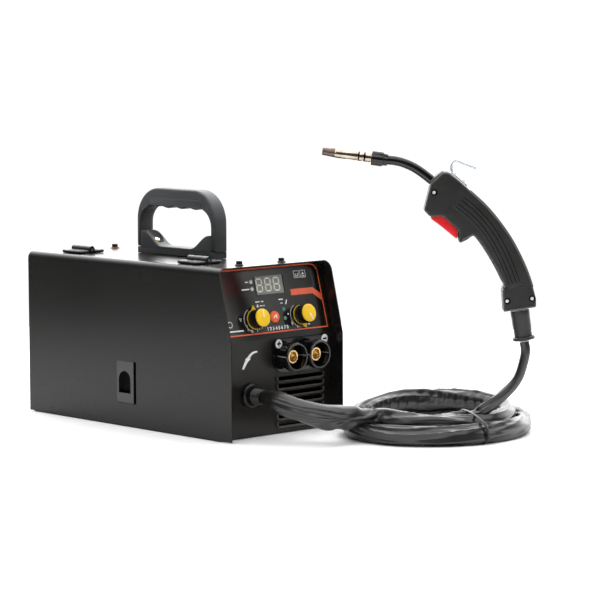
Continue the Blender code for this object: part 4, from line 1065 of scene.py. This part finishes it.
def panel_marks():
    """White print: plain icons, ticks, bars and dial digits."""
    marks = []
    for u in (135.8, 146.4):
        for side in (
            (u, 12.8, u, 21.2), (u + 8.4, 12.8, u + 8.4, 21.2), (u, 12.8, u + 8.4, 12.8),
            (u, 21.2, u + 8.4, 21.2),
        ):
            marks.append(stroke([side[:2], side[2:]], 0.55))
    marks += [stroke([(138, 19.2), (142, 19.2)], 0.8), stroke([(138.2, 18.8), (138.2, 15.6)], 0.8)]
    marks += [stroke([(141.8, 18.8), (141.8, 15.6)], 0.8), [(148.4, 17.8), (150.6, 14.0), (152.8, 17.8)]]
    marks.append(stroke([(148.2, 19.6), (153.0, 19.6)], 0.9))
    marks += [stroke([(55, 21.3), (59.8, 21.3)], 1.5), stroke([(48, 30.0), (60, 30.0)], 1.5)]
    marks += [stroke([(66, 46.0), (73, 46.0)], 1.3), stroke([(75, 46.0), (79, 46.0)], 1.3)]
    marks.append([(66.5, 52.2), (68.6, 48.2), (70.7, 52.2)])
    marks += [stroke([(72.5, 51.0), (76, 51.0)], 1.0), stroke([(77.2, 51.0), (80.6, 51.0)], 1.0)]
    marks += [stroke([(104, 45.6), (111, 45.6)], 1.3), stroke([(106, 50.2), (110, 50.2)], 1.0)]
    marks.append([(113.4, 52.0), (116.4, 46.2), (117.6, 47.2), (115.4, 52.0)])
    marks.append(circle(1.1, 115.6, 64.0, 18))
    marks.append(stroke([(36.6, 63.2), (38.0, 67.6), (39.4, 63.2)], 0.8))
    marks.append(stroke([(18, 78.5), (40, 78.5)], 1.6))
    marks.append(stroke(circle(3.4, 20.2, 70.2, 28) + [(23.6, 70.2)], 0.7))
    marks += [stroke([(132 + 4.6 * k, 78.6), (134.6 + 4.6 * k, 78.6)], 1.4) for k in range(4)]
    marks += [stroke([(47 + 6.2 * k, 77.6), (47 + 6.2 * k, 79.6)], 0.6) for k in range(4)]
    marks += [stroke([(120 + 5.0 * k, 76.8), (120 + 5.0 * k, 78.4)], 0.6) for k in range(2)]
    panel_print("panel_marks", marks, WHITE_INK)
    bm = bmesh.new()
    dial_digits = [("1", 46.5, 75.5), ("2", 53, 81.8), ("3", 62, 81.8), ("4", 69.5, 78.0)]
    dial_digits += [("2", 119.5, 77.0), ("4", 127.5, 81.8), ("6", 139.5, 75.0)]
    for digit, u, v in dial_digits:
        text_shapes(bm, digit, 0.0042, slope_matrix(DIGITS_OUT) @ Matrix.Translation((*panel_point(u, v), 0)))
    for k in range(8):
        place = Matrix.Translation((*panel_point(79 + 4.6 * k, 81.4), 0))
        text_shapes(bm, str(k + 1), 0.0056, slope_matrix(DIGITS_OUT) @ place)
    piece("dial_digits", bm, WHITE_INK, "cabinet", sharp=40)
    scales = dial_scale(KNOBS["voltage_knob"][0]) + dial_scale(KNOBS["wire_speed_knob"][0])
    panel_print("dial_scales", scales, DIAL_ARC_GREY)
    blobs = [rectangle(28, 59.0, 44.5, 74.5, 3.0), rectangle(112.4, 58.5, 121, 70.5, 3.0)]
    corner = [(163.5, 6.6), (175.0, 11.0), (176.0, 43.0), (163.5, 34.0)]
    panel_print("panel_dark_patches", [*blobs, corner], DARK_INK_AND_SHADE, 0.00082)
    panel_print("panel_border", border(), ORANGE_INK, 0.00086)


def knob(name):
    """A control knob: a yellow ring with its pointer, a ribbed black body and a yellow cap with a line."""
    x, angle = KNOBS[name]
    at = FOLD + Vector((x, 0, 0)) + SLOPE_UP * KNOB_UP
    matrix = aim(at, SLOPE_OUT)
    bm = bmesh.new()
    skirt = [(0.0104, 0.0038), (0.0117, 0.0038), (0.0119, 0.0041), (0.0117, 0.0044), (0.0104, 0.0044)]
    lathe(bm, skirt, matrix, 72, closed=True, index=1)
    body = [(0.0, 0.0186), (0.0103, 0.0186), (0.0109, 0.0180), (0.0112, 0.0165), (0.0115, 0.0050)]
    body += [(0.0110, 0.0042), (0.0110, 0.0012), (0.0034, 0.0012), (0.0034, 0.0120), (0.0, 0.0120)]
    lathe(bm, body, matrix, 144, ribs=36, depth=0.0005)
    cap = [
        (0.0, 0.0206), (0.0080, 0.0206), (0.0101, 0.0203), (0.0108, 0.0196), (0.0109, 0.0184), (0.0, 0.0184),
    ]
    lathe(bm, cap, matrix, 72, index=1)
    foot = [(0.0100, 0.0012), (0.0124, 0.0012), (0.0126, 0.0016), (0.0119, 0.0036), (0.0100, 0.0036)]
    lathe(bm, foot, matrix, 72, closed=True)
    turn = Matrix.Rotation(-angle, 4, "Z")
    around = slope_matrix(0.0, x, KNOB_UP) @ turn
    tip = [(-0.0036, 0.0116), (0.0036, 0.0116), (0.0005, 0.0169), (-0.0005, 0.0169)]
    add_plate(bm, [tip], 0.0012, around @ Matrix.Translation((0, 0, 0.0038)), 0.0003, 2, index=1)
    line = rectangle(-0.0006, 0.0005, 0.0006, 0.0090, 0.0005, 4)
    add_plate(bm, [line], 0.0009, around @ Matrix.Translation((0, 0, 0.0208)), 0.0002, 2, index=2)
    piece(name + "_detail", bm, [BLACK_GLOSS, YELLOW, WHITE_INK], name, (name,), 38)


def mode_button():
    """The round orange button, dished, with a white torch mark."""
    at = FOLD + Vector((0.001, 0, 0)) + SLOPE_UP * 0.0248
    matrix = aim(at, SLOPE_OUT)
    profile = [
        (0.0, 0.0033), (0.0040, 0.0034), (0.0056, 0.0035), (0.0066, 0.0031), (0.0071, 0.0022),
        (0.0072, 0.0010),
    ]
    profile += [(0.0072, -0.0040), (0.0, -0.0040)]
    bm = lathe(bmesh.new(), profile, matrix, 64)
    mark = stroke([(-0.0030, -0.0016), (-0.0016, 0.0004), (0.0004, 0.0016), (0.0028, 0.0020)], 0.0012)
    around = slope_matrix(0.0034, 0.001, 0.0248)
    add_plate(bm, [mark], 0.0003, around, index=1)
    add_plate(bm, [stroke([(0.0006, 0.0010), (0.0020, -0.0022)], 0.0014)], 0.0003, around, index=1)
    piece("mode_button_face", bm, [ORANGE, WHITE_INK], "mode_button", ("mode_button",), 40)
    ring = [(0.0078, 0.0012), (0.0086, 0.0012), (0.0088, 0.0009), (0.0078, 0.0009)]
    bm = lathe(bmesh.new(), ring, matrix, 56, closed=True)
    piece("mode_button_ring", bm, DARK_INK_AND_SHADE, "cabinet")


def control_panel():
    display()
    lamps()
    panel_marks()
    for name in KNOBS:
        knob(name)
    mode_button()


control_panel()


# ---- sockets, gland and lower marks ----


def sockets():
    """The sockets' collars and brass contacts, and their polarity marks."""
    for name, x in SOCKETS.items():
        matrix = aim((x, PANEL_Y, SOCKET_Z), (0, -1, 0))
        rim = [(0.0142, 0.0050), (0.0142, 0.0205), (0.0148, 0.0218), (0.0156, 0.0221), (0.0166, 0.0219)]
        rim += [(0.0173, 0.0210), (0.0173, 0.0118), (0.0166, 0.0108), (0.0151, 0.0104), (0.0151, 0.0028)]
        rim += [(0.0102, 0.0026), (0.0102, -0.0080), (0.0091, -0.0080), (0.0091, 0.0050)]
        bm = lathe(bmesh.new(), rim[::-1], matrix, 96, closed=True)
        bm.faces.ensure_lookup_table()
        # The collar's front rim faces take the lighter grey: a painted highlight along its edge.
        for face in bm.faces:
            if face.calc_center_median().y < PANEL_Y - 0.0215:
                face.material_index = 1
        # Thin ridges along the collars at mid-height, light grey as a painted highlight of the mould line.
        for low, high, z in (
            (-0.0176, -0.0168, 0.0112), (-0.0156, -0.0150, 0.0030), (0.0138, 0.0146, 0.0062),
        ):
            near = (x + low, PANEL_Y - 0.0206, SOCKET_Z + 0.0003)
            far = (x + high, PANEL_Y - z, SOCKET_Z + 0.0015)
            add_box(bm, near, far, round_by=0.0002, index=2)
        piece(
            f"{name}_socket_ring", bm, [BLACK_GLOSS, RIM_HIGHLIGHT_GREY, MOULD_LINE_HIGHLIGHT], "cabinet",
            (f"{name}_socket",), 36,
        )
        contact = [(0.0053, 0.0128), (0.0058, 0.0140), (0.0066, 0.0142), (0.0080, 0.0141), (0.0087, 0.0133)]
        contact += [
            (0.0087, -0.0180), (0.0, -0.0180), (0.0, 0.0078), (0.0012, 0.0076), (0.0048, 0.0062),
            (0.0053, 0.0068),
        ]
        bm = lathe(bmesh.new(), contact[::-1], matrix, 64, closed=True)
        piece(f"{name}_socket_brass", bm, BRASS, "cabinet", (f"{name}_contact",), 30)
    marks = bmesh.new()
    disc = bmesh.new()
    for x, z, signs in ((0.0010, 0.1092, "+"), (0.0770, 0.1095, "-")):
        holes = [rectangle(-0.0032, -0.0010, 0.0032, 0.0010)]
        if signs == "+":
            bar, arm = 0.0034, 0.0010
            holes = [
                [(-bar, -arm), (-arm, -arm), (-arm, -bar), (arm, -bar), (arm, -arm), (bar, -arm)]
                + [(bar, arm), (arm, arm), (arm, bar), (-arm, bar), (-arm, arm), (-bar, arm)]
            ]
        add_plate(disc, [circle(0.0054), *holes], 0.0004, front_matrix(0.0026, x, z), 0.0001, 1)
        add_plate(marks, [circle(0.0052)], 0.0002, front_matrix(0.0024, x, z))
    piece("polarity_discs", disc, WHITE_INK, "cabinet", sharp=40)
    piece("polarity_grounds", marks, DARK_INK_AND_SHADE, "cabinet", sharp=40)


def gland():
    """The rubber ring in the panel and the ribbed boot that the hose leaves."""
    profile = [(0.0, 0.0236), (0.0078, 0.0236), (0.0082, 0.0228)]
    for k in range(5):
        profile += [(0.0092 + 0.0002 * k, 0.0222 - 0.0028 * k), (0.0084 + 0.0002 * k, 0.0208 - 0.0028 * k)]
    profile += arc(0.0116, 0.0034, 0.0031, 120, -80, 14)
    profile += [(0.0095, 0.0004), (0.0095, -0.0120), (0.0, -0.0120)]
    bm = lathe(bmesh.new(), profile, aim(GLAND, (0, -1, 0)), 72)
    piece("gland_boot", bm, BOOT, "cabinet", ("torch_gland",), 50)


def lower_marks():
    """A plain white torch symbol and a small hole on the lower panel."""
    outline = [
        (35.0, 33.4), (37.8, 34.2), (40.0, 31.0), (43.4, 26.4), (46.6, 23.6), (48.4, 23.2), (47.6, 21.2),
    ]
    outline += [
        (50.8, 17.6), (55.0, 15.8), (59.6, 15.2), (59.4, 13.4), (54.0, 13.6), (49.4, 15.2), (45.6, 17.8),
    ]
    outline += [(43.0, 20.6), (40.6, 21.2), (40.2, 23.6), (37.8, 27.6)]
    shape = [(u / PER_METRE + LEFT, FOLD_Z - v / PER_METRE) for u, v in outline]
    bm = add_plate(bmesh.new(), [shape], 0.0002, front_matrix(0.0002))
    piece("torch_symbol", bm, WHITE_INK, "cabinet", sharp=40)
    # The small hole is a dark disc on the panel: painted shade standing for its inside.
    bm = lathe(
        bmesh.new(), [(0.0, 0.0003), (0.0014, 0.0004), (0.0019, 0.0001), (0.0, -0.0002)],
        aim((-0.0647, PANEL_Y, 0.073), (0, -1, 0)), 24,
    )
    piece("small_hole", bm, DARK_INK_AND_SHADE, "cabinet")


sockets()
gland()
lower_marks()


# ---- carrying handle ----


def handle():
    """The moulded bow with its finger grips, and the saddle that it stands in."""
    half, leg, top = 0.074, 0.007, 0.083
    outer = arc(half - 0.040, top - 0.040, 0.040, 0, 90, 20)
    outer += arc(-half + 0.040, top - 0.040, 0.040, 90, 180, 20)
    inner_half = half - leg
    inner = arc(-inner_half + 0.024, 0.0365, 0.024, 180, 95, 14)
    for i in range(49):
        y = -0.037 + 0.074 * i / 48
        inner.append((y, 0.0600 + 0.0015 * math.cos(2 * math.pi * (y + 0.010) / 0.026 + math.pi)))
    inner += arc(inner_half - 0.024, 0.0365, 0.024, 85, 0, 14)
    end = 0.0085
    outline = [(half, end), *outer, (-half, end), (-inner_half, end), *inner, (inner_half, end)]
    up = Matrix.Translation((0, 0, TOP))
    bm = add_plate(bmesh.new(), [outline], 0.0210, up @ ALONG_X, 0.0030, 4)
    lower = arc(0.0420, 0.0662, 0.0048, 100, -80, 8)
    lower += [(y, z + 0.0008) for y, z in inner[63:14:-1] if abs(y) < 0.0372]
    lower += arc(-0.0440, 0.0655, 0.0052, 260, 80, 8)
    add_plate(bm, [lower], 0.0226, up @ ALONG_X, 0.0006, 2)
    for sign in (1, -1):
        rim = [(sign * (inner_half + 0.0016), 0.0100), (sign * (inner_half + 0.0016), 0.0365)]
        rim += [
            (sign * (y + 0.0016 * y / abs(y)), z + 0.0012)
            for y, z in arc(inner_half - 0.024, 0.0365, 0.024, 8, 70, 8)
        ]
        add_plate(bm, [stroke(rim, 0.0022)], 0.0220, up @ ALONG_X, 0.0005, 2)
    piece("handle_bow", bm, MOULDED, "cabinet", ("handle_grip",), 30)
    rise = inner_half - GAP
    edge = half - 0.0015
    saddle = [(-edge, 0.0), (edge, 0.0), (edge, end - GAP), (rise, end - GAP), (rise, 0.0285)]
    for i in range(17):
        t = i / 16
        saddle.append((rise - 0.004 - 0.036 * t, 0.0105 + 0.0180 * (0.5 + 0.5 * math.cos(math.pi * t))))
    saddle += [(-y, z) for y, z in saddle[:2:-1]] + [(-edge, end - GAP)]
    bm = add_plate(bmesh.new(), [saddle], 0.0218, up @ ALONG_X, 0.0014, 3)
    for sign in (1, -1):
        dish = bmesh.new()
        bmesh.ops.create_uvsphere(dish, u_segments=40, v_segments=24, radius=1)
        tilt = Matrix.Rotation(sign * math.radians(31), 4, "X")
        size = Matrix.Diagonal((0.0088, 0.0165, 0.0075, 1))
        bmesh.ops.transform(
            dish, matrix=Matrix.Translation((0, sign * 0.0490, TOP + 0.0245)) @ tilt @ size, verts=dish.verts,
        )
        bm = carve(bm, dish)
    groove = add_box(bmesh.new(), (-0.0112, -0.0730, TOP + 0.0078), (-0.0104, 0.0730, TOP + 0.0084))
    bm = carve(bm, groove)
    piece("handle_saddle", bm, MOULDED, "cabinet", ("handle_base",), 30)
    screws()


def screws():
    """Recessed screws in the handle's two rising ends."""
    bm = bmesh.new()
    for sign in (-1, 1):
        at = Vector((0, sign * 0.0468, TOP + 0.0172))
        direction = Vector((0, -sign * 0.50, 0.866))
        matrix = aim(at, direction)
        lathe(
            bm, [(0.0, 0.0012), (0.0030, 0.0012), (0.0036, 0.0006), (0.0036, -0.002), (0, -0.002)], matrix,
            32,
        )
        lathe(
            bm, [(0.0040, 0.0014), (0.0052, 0.0012), (0.0056, -0.0010), (0.0040, -0.0010)], matrix, 32, True,
            index=1,
        )
    piece("handle_screws", bm, [BRASS, BLACK_PLASTIC], "cabinet", sharp=40)


handle()


# ---- torch ----

GRIP_OUTLINE = [
    (0.1151, 0.3180),
    (0.1221, 0.3175),
    (0.1336, 0.3085),
    (0.1486, 0.2950),
    (0.1661, 0.2785),
    (0.1811, 0.2610),
    (0.1951, 0.2410),
    (0.2061, 0.2210),
    (0.2151, 0.2010),
    (0.2211, 0.1835),
    (0.2251, 0.1685),
    (0.2252, 0.1585),
    (0.1870, 0.1530),
    (0.1850, 0.1790),
    (0.1881, 0.1810),
    (0.1861, 0.1885),
    (0.1786, 0.2035),
    (0.1686, 0.2210),
    (0.1586, 0.2360),
    (0.1511, 0.2435),
    (0.1411, 0.2385),
    (0.1340, 0.2350),
    (0.1340, 0.2485),
    (0.1151, 0.2655),
    (0.1001, 0.2655),
    (0.0931, 0.2730),
    (0.1011, 0.3050),
]
TRIGGER_POCKET = [(0.0998, 0.2380), (0.0998, 0.2705), (0.1160, 0.2705), (0.1368, 0.2530), (0.1368, 0.2380)]
NECK_ROUTE = [
    (0.0518, 0.3315),
    (0.0600, 0.3306),
    (0.0700, 0.3280),
    (0.0810, 0.3232),
    (0.0910, 0.3168),
    (0.1011, 0.3090),
    (0.1161, 0.2975),
    (0.1311, 0.2855),
]
NOZZLE_BASE, NOZZLE_TIP = (0.0511, 0.3315), (-0.0256, 0.3422)
TORCH_TURN = Matrix((ACROSS, UP, -AWAY)).transposed().to_4x4()


def torch_matrix(out=0.0):
    """Puts a plate's own x and y in the torch's plane: across, and height."""
    return Matrix.Translation(torch_plane(0, 0, out)) @ TORCH_TURN


def softened(outline, reach=0.0022, sides=4):
    """The outline with its corners rounded."""
    result = []
    count = len(outline)
    for i in range(count):
        before, corner, after = (Vector(outline[(i + k) % count]) for k in (-1, 0, 1))
        start = corner + (before - corner).normalized() * min(reach, (before - corner).length * 0.45)
        end = corner + (after - corner).normalized() * min(reach, (after - corner).length * 0.45)
        for k in range(sides + 1):
            t = k / sides
            result.append(tuple(start * (1 - t) ** 2 + corner * (2 * t * (1 - t)) + end * t**2))
    return result


def torch_handle():
    outline = softened(GRIP_OUTLINE)
    for side, name in ((1, "left"), (-1, "right")):
        bm = add_plate(bmesh.new(), [outline], 0.01435, torch_matrix(side * 0.00735), 0.0034, 5)
        bm = carve(bm, add_plate(bmesh.new(), [TRIGGER_POCKET], 0.0230, torch_matrix()), "MANIFOLD")
        bm.normal_update()
        # The shell's rounded edges and sides take the lighter grey: a painted highlight.
        for face in bm.faces:
            if abs(face.normal.dot(AWAY)) < 0.86:
                face.material_index = 1
        node_name = f"torch_handle_{name}"
        piece(f"torch_shell_{name}", bm, [TORCH_GREY, TORCH_EDGE_HIGHLIGHT], "cabinet", (node_name,), 36)
    edges()
    inlays()
    screw_heads()


def edges():
    """Edge strips down the grip's back and along its underside, lighter than the shell as a painted highlight
    of its rounded edges.
    """
    bm = bmesh.new()
    back = [(0.1478, 0.2944), (0.1653, 0.2780), (0.1802, 0.2605), (0.1942, 0.2406), (0.2052, 0.2206)]
    back += [(0.2142, 0.2006), (0.2202, 0.1832)]
    under = [(0.1350, 0.2364), (0.1418, 0.2394), (0.1512, 0.2446), (0.1594, 0.2366), (0.1695, 0.2215)]
    under += [(0.1796, 0.2039), (0.1870, 0.1890)]
    nose = [(0.1160, 0.3176), (0.1090, 0.3124), (0.1020, 0.3064)]
    for line, width in ((back, 0.0036), (under, 0.0040), (nose, 0.0030)):
        route = smooth_route([Vector((*p, 0)) for p in line], 0.003)
        add_plate(bm, [stroke([(p.x, p.y) for p in route], width)], 0.0238, torch_matrix(), 0.0014, 3)
    piece("grip_edges", bm, TORCH_EDGE_HIGHLIGHT, "cabinet", sharp=40)


def grip_line(t, off):
    """A point along the middle of the grip, from its top to its lower end, shifted sideways."""
    spine = [
        (0.1310, 0.2860), (0.1520, 0.2690), (0.1700, 0.2480), (0.1840, 0.2240), (0.1945, 0.2000),
        (0.2010, 0.1830),
    ]
    knots = [Vector((*p, 0)) for p in spine]
    route = smooth_route(knots, 0.004)
    position = t * (len(route) - 1)
    i = min(int(position), len(route) - 2)
    point = route[i].lerp(route[i + 1], position - i)
    along = (route[i + 1] - route[i]).normalized()
    return (point.x + along.y * off, point.y - along.x * off)


def inlays():
    """Both sides of the grip: a raised field whose long grooves follow the grip, and a step above the end."""
    bm = bmesh.new()
    for side in (1, -1):
        matrix = torch_matrix(side * 0.0146)
        rim = [grip_line(k / 36, -0.0106 + 0.0016 * k / 36) for k in range(37)]
        other = [grip_line(k / 36, 0.0106 - 0.0016 * k / 36) for k in range(37)]
        add_plate(bm, [softened(rim + other[::-1], 0.004)], 0.0009, matrix, 0.0003, 2)
        # The grooves are near-black raised lines: painted shade standing for their depth.
        for off in (-0.0072, -0.0028, 0.0028, 0.0072):
            line = [grip_line(0.04 + 0.92 * k / 30, off * (1 - 0.12 * k / 30)) for k in range(31)]
            add_plate(bm, [stroke(line, 0.0008)], 0.0010, matrix, 0.0002, 1, index=1)
        for off in (-0.0050, 0.0, 0.0050):
            line = [grip_line(0.07 + 0.86 * k / 30, off * (1 - 0.12 * k / 30)) for k in range(31)]
            add_plate(bm, [stroke(line, 0.0022)], 0.0018, matrix, 0.0005, 2)
    add_plate(bm, [stroke([(0.1862, 0.1812), (0.2215, 0.1834)], 0.0011)], 0.0300, torch_matrix(), 0.0004, 2)
    piece("grip_ribs", bm, [TORCH_GREY, GROOVE_SHADE], "cabinet", sharp=40)


def screw_heads():
    bm = bmesh.new()
    for s, z in ((0.1047, 0.2940), (0.1907, 0.1660), (0.2200, 0.1690)):
        matrix = aim(torch_plane(s, z, 0.0146), -AWAY)
        lathe(
            bm, [(0.0, 0.0006), (0.0015, 0.0007), (0.0020, 0.0003), (0.0020, -0.001), (0, -0.001)], matrix,
            24,
        )
        # A near-black ring round each screw head: painted shade in its recess.
        ring = [(0.0019, 0.0004), (0.0036, 0.0004), (0.0037, -0.0004), (0.0019, -0.0010)]
        lathe(bm, ring, matrix @ Matrix.Translation((0.0005, 0, 0)), 32, True, index=1)
    piece("torch_screws", bm, [ZINC, GROOVE_SHADE], "cabinet", sharp=40)


def nozzle():
    """The torch's nozzle, its black nut and the neck behind them."""
    base = torch_plane(*NOZZLE_BASE)
    matrix = aim(base, torch_plane(*NOZZLE_TIP) - base)
    nut = [
        (0.0061, 0.0194), (0.0084, 0.0194), (0.0091, 0.0187), (0.0092, 0.0072), (0.0088, 0.0060),
        (0.0078, 0.0050),
    ]
    nut += [(0.0074, 0.0006), (0.0068, 0.0), (0.0061, 0.0)]
    bm = lathe(bmesh.new(), nut, matrix, 96, closed=True, ribs=6, depth=0.0007)
    piece("nozzle_nut", bm, BLACK_GLOSS, "cabinet", ("nozzle_insulator",), 36)
    body = [(0.0036, 0.0772), (0.0041, 0.0774), (0.0045, 0.0768), (0.0055, 0.0625)]
    steel = [(0.0055, 0.0625), (0.0060, 0.0610), (0.0061, 0.0370), (0.0057, 0.0360), (0.0057, 0.0342)]
    steel += [(0.0060, 0.0338), (0.0060, 0.0298), (0.0057, 0.0292), (0.0057, 0.0272), (0.0060, 0.0268)]
    steel += [(0.0060, 0.0199), (0.0044, 0.0199), (0.0044, 0.0600)]
    bm = lathe(bmesh.new(), body, matrix, 64, index=1)
    lathe(bm, steel, matrix, 64)
    lathe(bm, [(0.0044, 0.0600), (0.0036, 0.0772)], matrix, 64, index=1)
    for low, high in ((0.0338, 0.0298), (0.0268, 0.0205)):
        ring = [(0.0057, low + 0.0004), (0.0063, low - 0.0004), (0.0063, high + 0.0006), (0.0057, high)]
        lathe(bm, ring, matrix, 64, closed=True)
    bmesh.ops.remove_doubles(bm, verts=bm.verts, dist=1e-6)
    piece("nozzle_shell", bm, [NOZZLE_STEEL, BURNT], "cabinet", ("gas_nozzle",), 30)
    route = smooth_route([torch_plane(*p) for p in ((0.0462, 0.3322), *NECK_ROUTE)], 0.002)
    bm = add_tube(bmesh.new(), route, 0.0057, 40)
    piece("neck_sleeve", bm, BLACK_GLOSS, "cabinet", ("torch_neck",), 50)


def trigger():
    outline = [
        (0.1010, 0.2640),
        (0.1014, 0.2685),
        (0.1150, 0.2672),
        (0.1326, 0.2505),
        (0.1328, 0.2420),
        (0.1313, 0.2390),
        (0.1230, 0.2460),
        (0.1120, 0.2550),
        (0.1030, 0.2615),
    ]
    bm = add_plate(bmesh.new(), [softened(outline, 0.0018)], 0.0220, torch_matrix(), 0.0016, 4)
    add_plate(bm, [stroke([(0.1132, 0.2546), (0.1148, 0.2562)], 0.0016)], 0.0196, torch_matrix(), 0.0004, 2)
    piece("trigger_face", bm, RED, "trigger", ("torch_trigger",), 40)


def hook():
    """The zinc-plated wire hook and its leaf on the torch's back."""
    leaf = [
        (0.1243, 0.3164), (0.1339, 0.3089), (0.1433, 0.3004), (0.1445, 0.3016), (0.1350, 0.3102),
        (0.1254, 0.3177),
    ]
    bm = add_plate(bmesh.new(), [leaf], 0.0090, torch_matrix(), 0.0004, 2)
    points = [
        (0.1268, 0.3157),
        (0.1260, 0.3210),
        (0.1262, 0.3260),
        (0.1290, 0.3300),
        (0.1335, 0.3300),
        (0.1429, 0.3262),
        (0.1546, 0.3217),
    ]
    add_tube(bm, smooth_route([torch_plane(*p) for p in points], 0.0012), 0.0016, 20)
    for s, z in ((0.1298, 0.3148), (0.1392, 0.3068)):
        lathe(
            bm, [(0, 0.0018), (0.0016, 0.0016), (0.0026, 0.0006), (0.0026, 0), (0, 0)],
            aim(torch_plane(s, z), ACROSS * 0.65 + UP * 0.76), 24,
        )
    piece("hook_wire", bm, ZINC, "cabinet", ("torch_hook",), 50)


torch_handle()
nozzle()
trigger()
hook()


# ---- inside the cabinet ----


def windings():
    """The welding wire wound on its spool, and the stretch that runs to the rollers."""
    matrix = aim((-0.0575, 0.075, 0.112), (-1, 0, 0))
    profile = [(0.0425, 0.0192)]
    for k in range(32):
        x = 0.0190 - 0.0012 * k
        profile += [(0.0436, x), (0.0430, x - 0.0006)]
    profile += [(0.0425, -0.0192)]
    bm = lathe(bmesh.new(), profile, matrix, 96)
    piece("wound_wire", bm, COPPER, "wire_spool", sharp=70)
    route = [
        (-0.0500, 0.060, 0.0705), (-0.0470, 0.020, 0.0640), (-0.0448, -0.030, 0.0550),
        (-0.0443, -0.070, 0.0510),
    ]
    bm = add_tube(bmesh.new(), smooth_route(route, 0.006), 0.0005, 10)
    piece("loose_wire", bm, COPPER, "cabinet")


def board_parts():
    """Capacitors, chips and terminals on the main board, and the transformer's winding."""
    bm = bmesh.new()
    x = -0.0123
    for y, z, radius, height in (
        (0.010, 0.120, 0.013, 0.030), (0.045, 0.120, 0.013, 0.030), (0.080, 0.120, 0.011, 0.026),
    ):
        matrix = aim((x, y, z), (1, 0, 0))
        lathe(
            bm, [(0, height), (radius - 0.001, height), (radius, height - 0.001), (radius, 0), (0, 0)],
            matrix, 36,
        )
    for k in range(6):
        add_box(bm, (x, -0.045 + 0.026 * k, 0.070), (x + 0.005, -0.030 + 0.026 * k, 0.084), round_by=0.0006)
    for k in range(4):
        add_box(
            bm, (x, -0.040 + 0.030 * k, 0.030), (x + 0.011, -0.022 + 0.030 * k, 0.048), round_by=0.0008,
            index=1,
        )
    piece("board_parts", bm, [BLACK_PLASTIC, WHITE_INK], "cabinet", sharp=30)
    bm = bmesh.new()
    profile = [(0.0290, 0.054)]
    for k in range(15):
        profile += [(0.0300, 0.0530 - 0.0028 * k), (0.0291, 0.0516 - 0.0028 * k)]
    lathe(bm, profile, Matrix.Translation((0.050, 0.114, 0)), 64)
    piece("transformer_winding", bm, COPPER, "cabinet", sharp=60)


windings()
board_parts()


# ---- floor, light and finish ----

FLOOR_RADIUS = 1.05
WALLS, BACKDROP, SEEN_WHITE = 0.10, 3.6, 1.05  # the brightness of the room as reflected, and as seen


def stage():
    """A round white floor."""
    bm = bmesh.new()
    bmesh.ops.create_circle(bm, cap_ends=True, segments=96, radius=FLOOR_RADIUS)
    mesh = bpy.data.meshes.new("floor")
    bm.to_mesh(mesh)
    bm.free()
    floor = bpy.data.objects.new("floor", mesh)
    floor.location = (0.05, 0, -0.0002)
    paper = finish_of(
        "floor_paper", grey(0.96), 0.8, second=grey(0.95), patches=1.2, grain=60, relief=0.01, specular=0.0
    )
    mesh.materials.append(paper)
    bpy.context.scene.collection.objects.link(floor)


def studio():
    """White behind everything, and for the object's own reflections a bright backdrop at its far side with
    dimmer walls round the rest of the room."""
    world = bpy.data.worlds.new("studio")
    world.use_nodes = True
    tree = world.node_tree
    background = tree.nodes["Background"]
    place = node(tree, "ShaderNodeTexCoord")
    split = node(tree, "ShaderNodeVectorMath", operation="DOT_PRODUCT")
    split.inputs[1].default_value = (0.684, 0.723, 0.10)
    tree.links.new(place.outputs["Generated"], split.inputs[0])
    behind = node(tree, "ShaderNodeMapRange", interpolation_type="SMOOTHSTEP")
    behind.inputs["From Min"].default_value = 0.30
    behind.inputs["From Max"].default_value = 0.86
    behind.inputs["To Min"].default_value = WALLS
    behind.inputs["To Max"].default_value = BACKDROP
    tree.links.new(split.outputs["Value"], behind.inputs["Value"])
    path = node(tree, "ShaderNodeLightPath")
    mix = node(tree, "ShaderNodeMix", data_type="FLOAT")
    tree.links.new(path.outputs["Is Camera Ray"], mix.inputs["Factor"])
    tree.links.new(behind.outputs["Result"], mix.inputs["A"])
    mix.inputs["B"].default_value = SEEN_WHITE
    tree.links.new(mix.outputs["Result"], background.inputs["Strength"])
    background.inputs["Color"].default_value = (1, 1, 1, 1)
    bpy.context.scene.world = world


def area_light(name, at, target, size, power):
    data = bpy.data.lights.new(name, "AREA")
    data.shape = "RECTANGLE"
    data.size, data.size_y = size
    data.energy = power
    obj = bpy.data.objects.new(name, data)
    obj.matrix_world = aim(at, Vector(at) - Vector(target))
    bpy.context.scene.collection.objects.link(obj)


def lights():
    area_light("ceiling_light", (0.05, 0.0, 2.6), (0.05, 0, 0), (5.2, 5.2), 190)
    area_light("left_light", (-2.4, -1.2, 1.5), (0, 0, 0.1), (0.7, 1.4), 8)
    area_light("right_light", (1.6, -2.2, 1.3), (0.1, -0.2, 0.1), (0.6, 1.4), 8)


stage()
studio()
lights()
bpy.context.scene.view_settings.view_transform = "Standard"
bpy.context.scene.view_settings.look = "None"
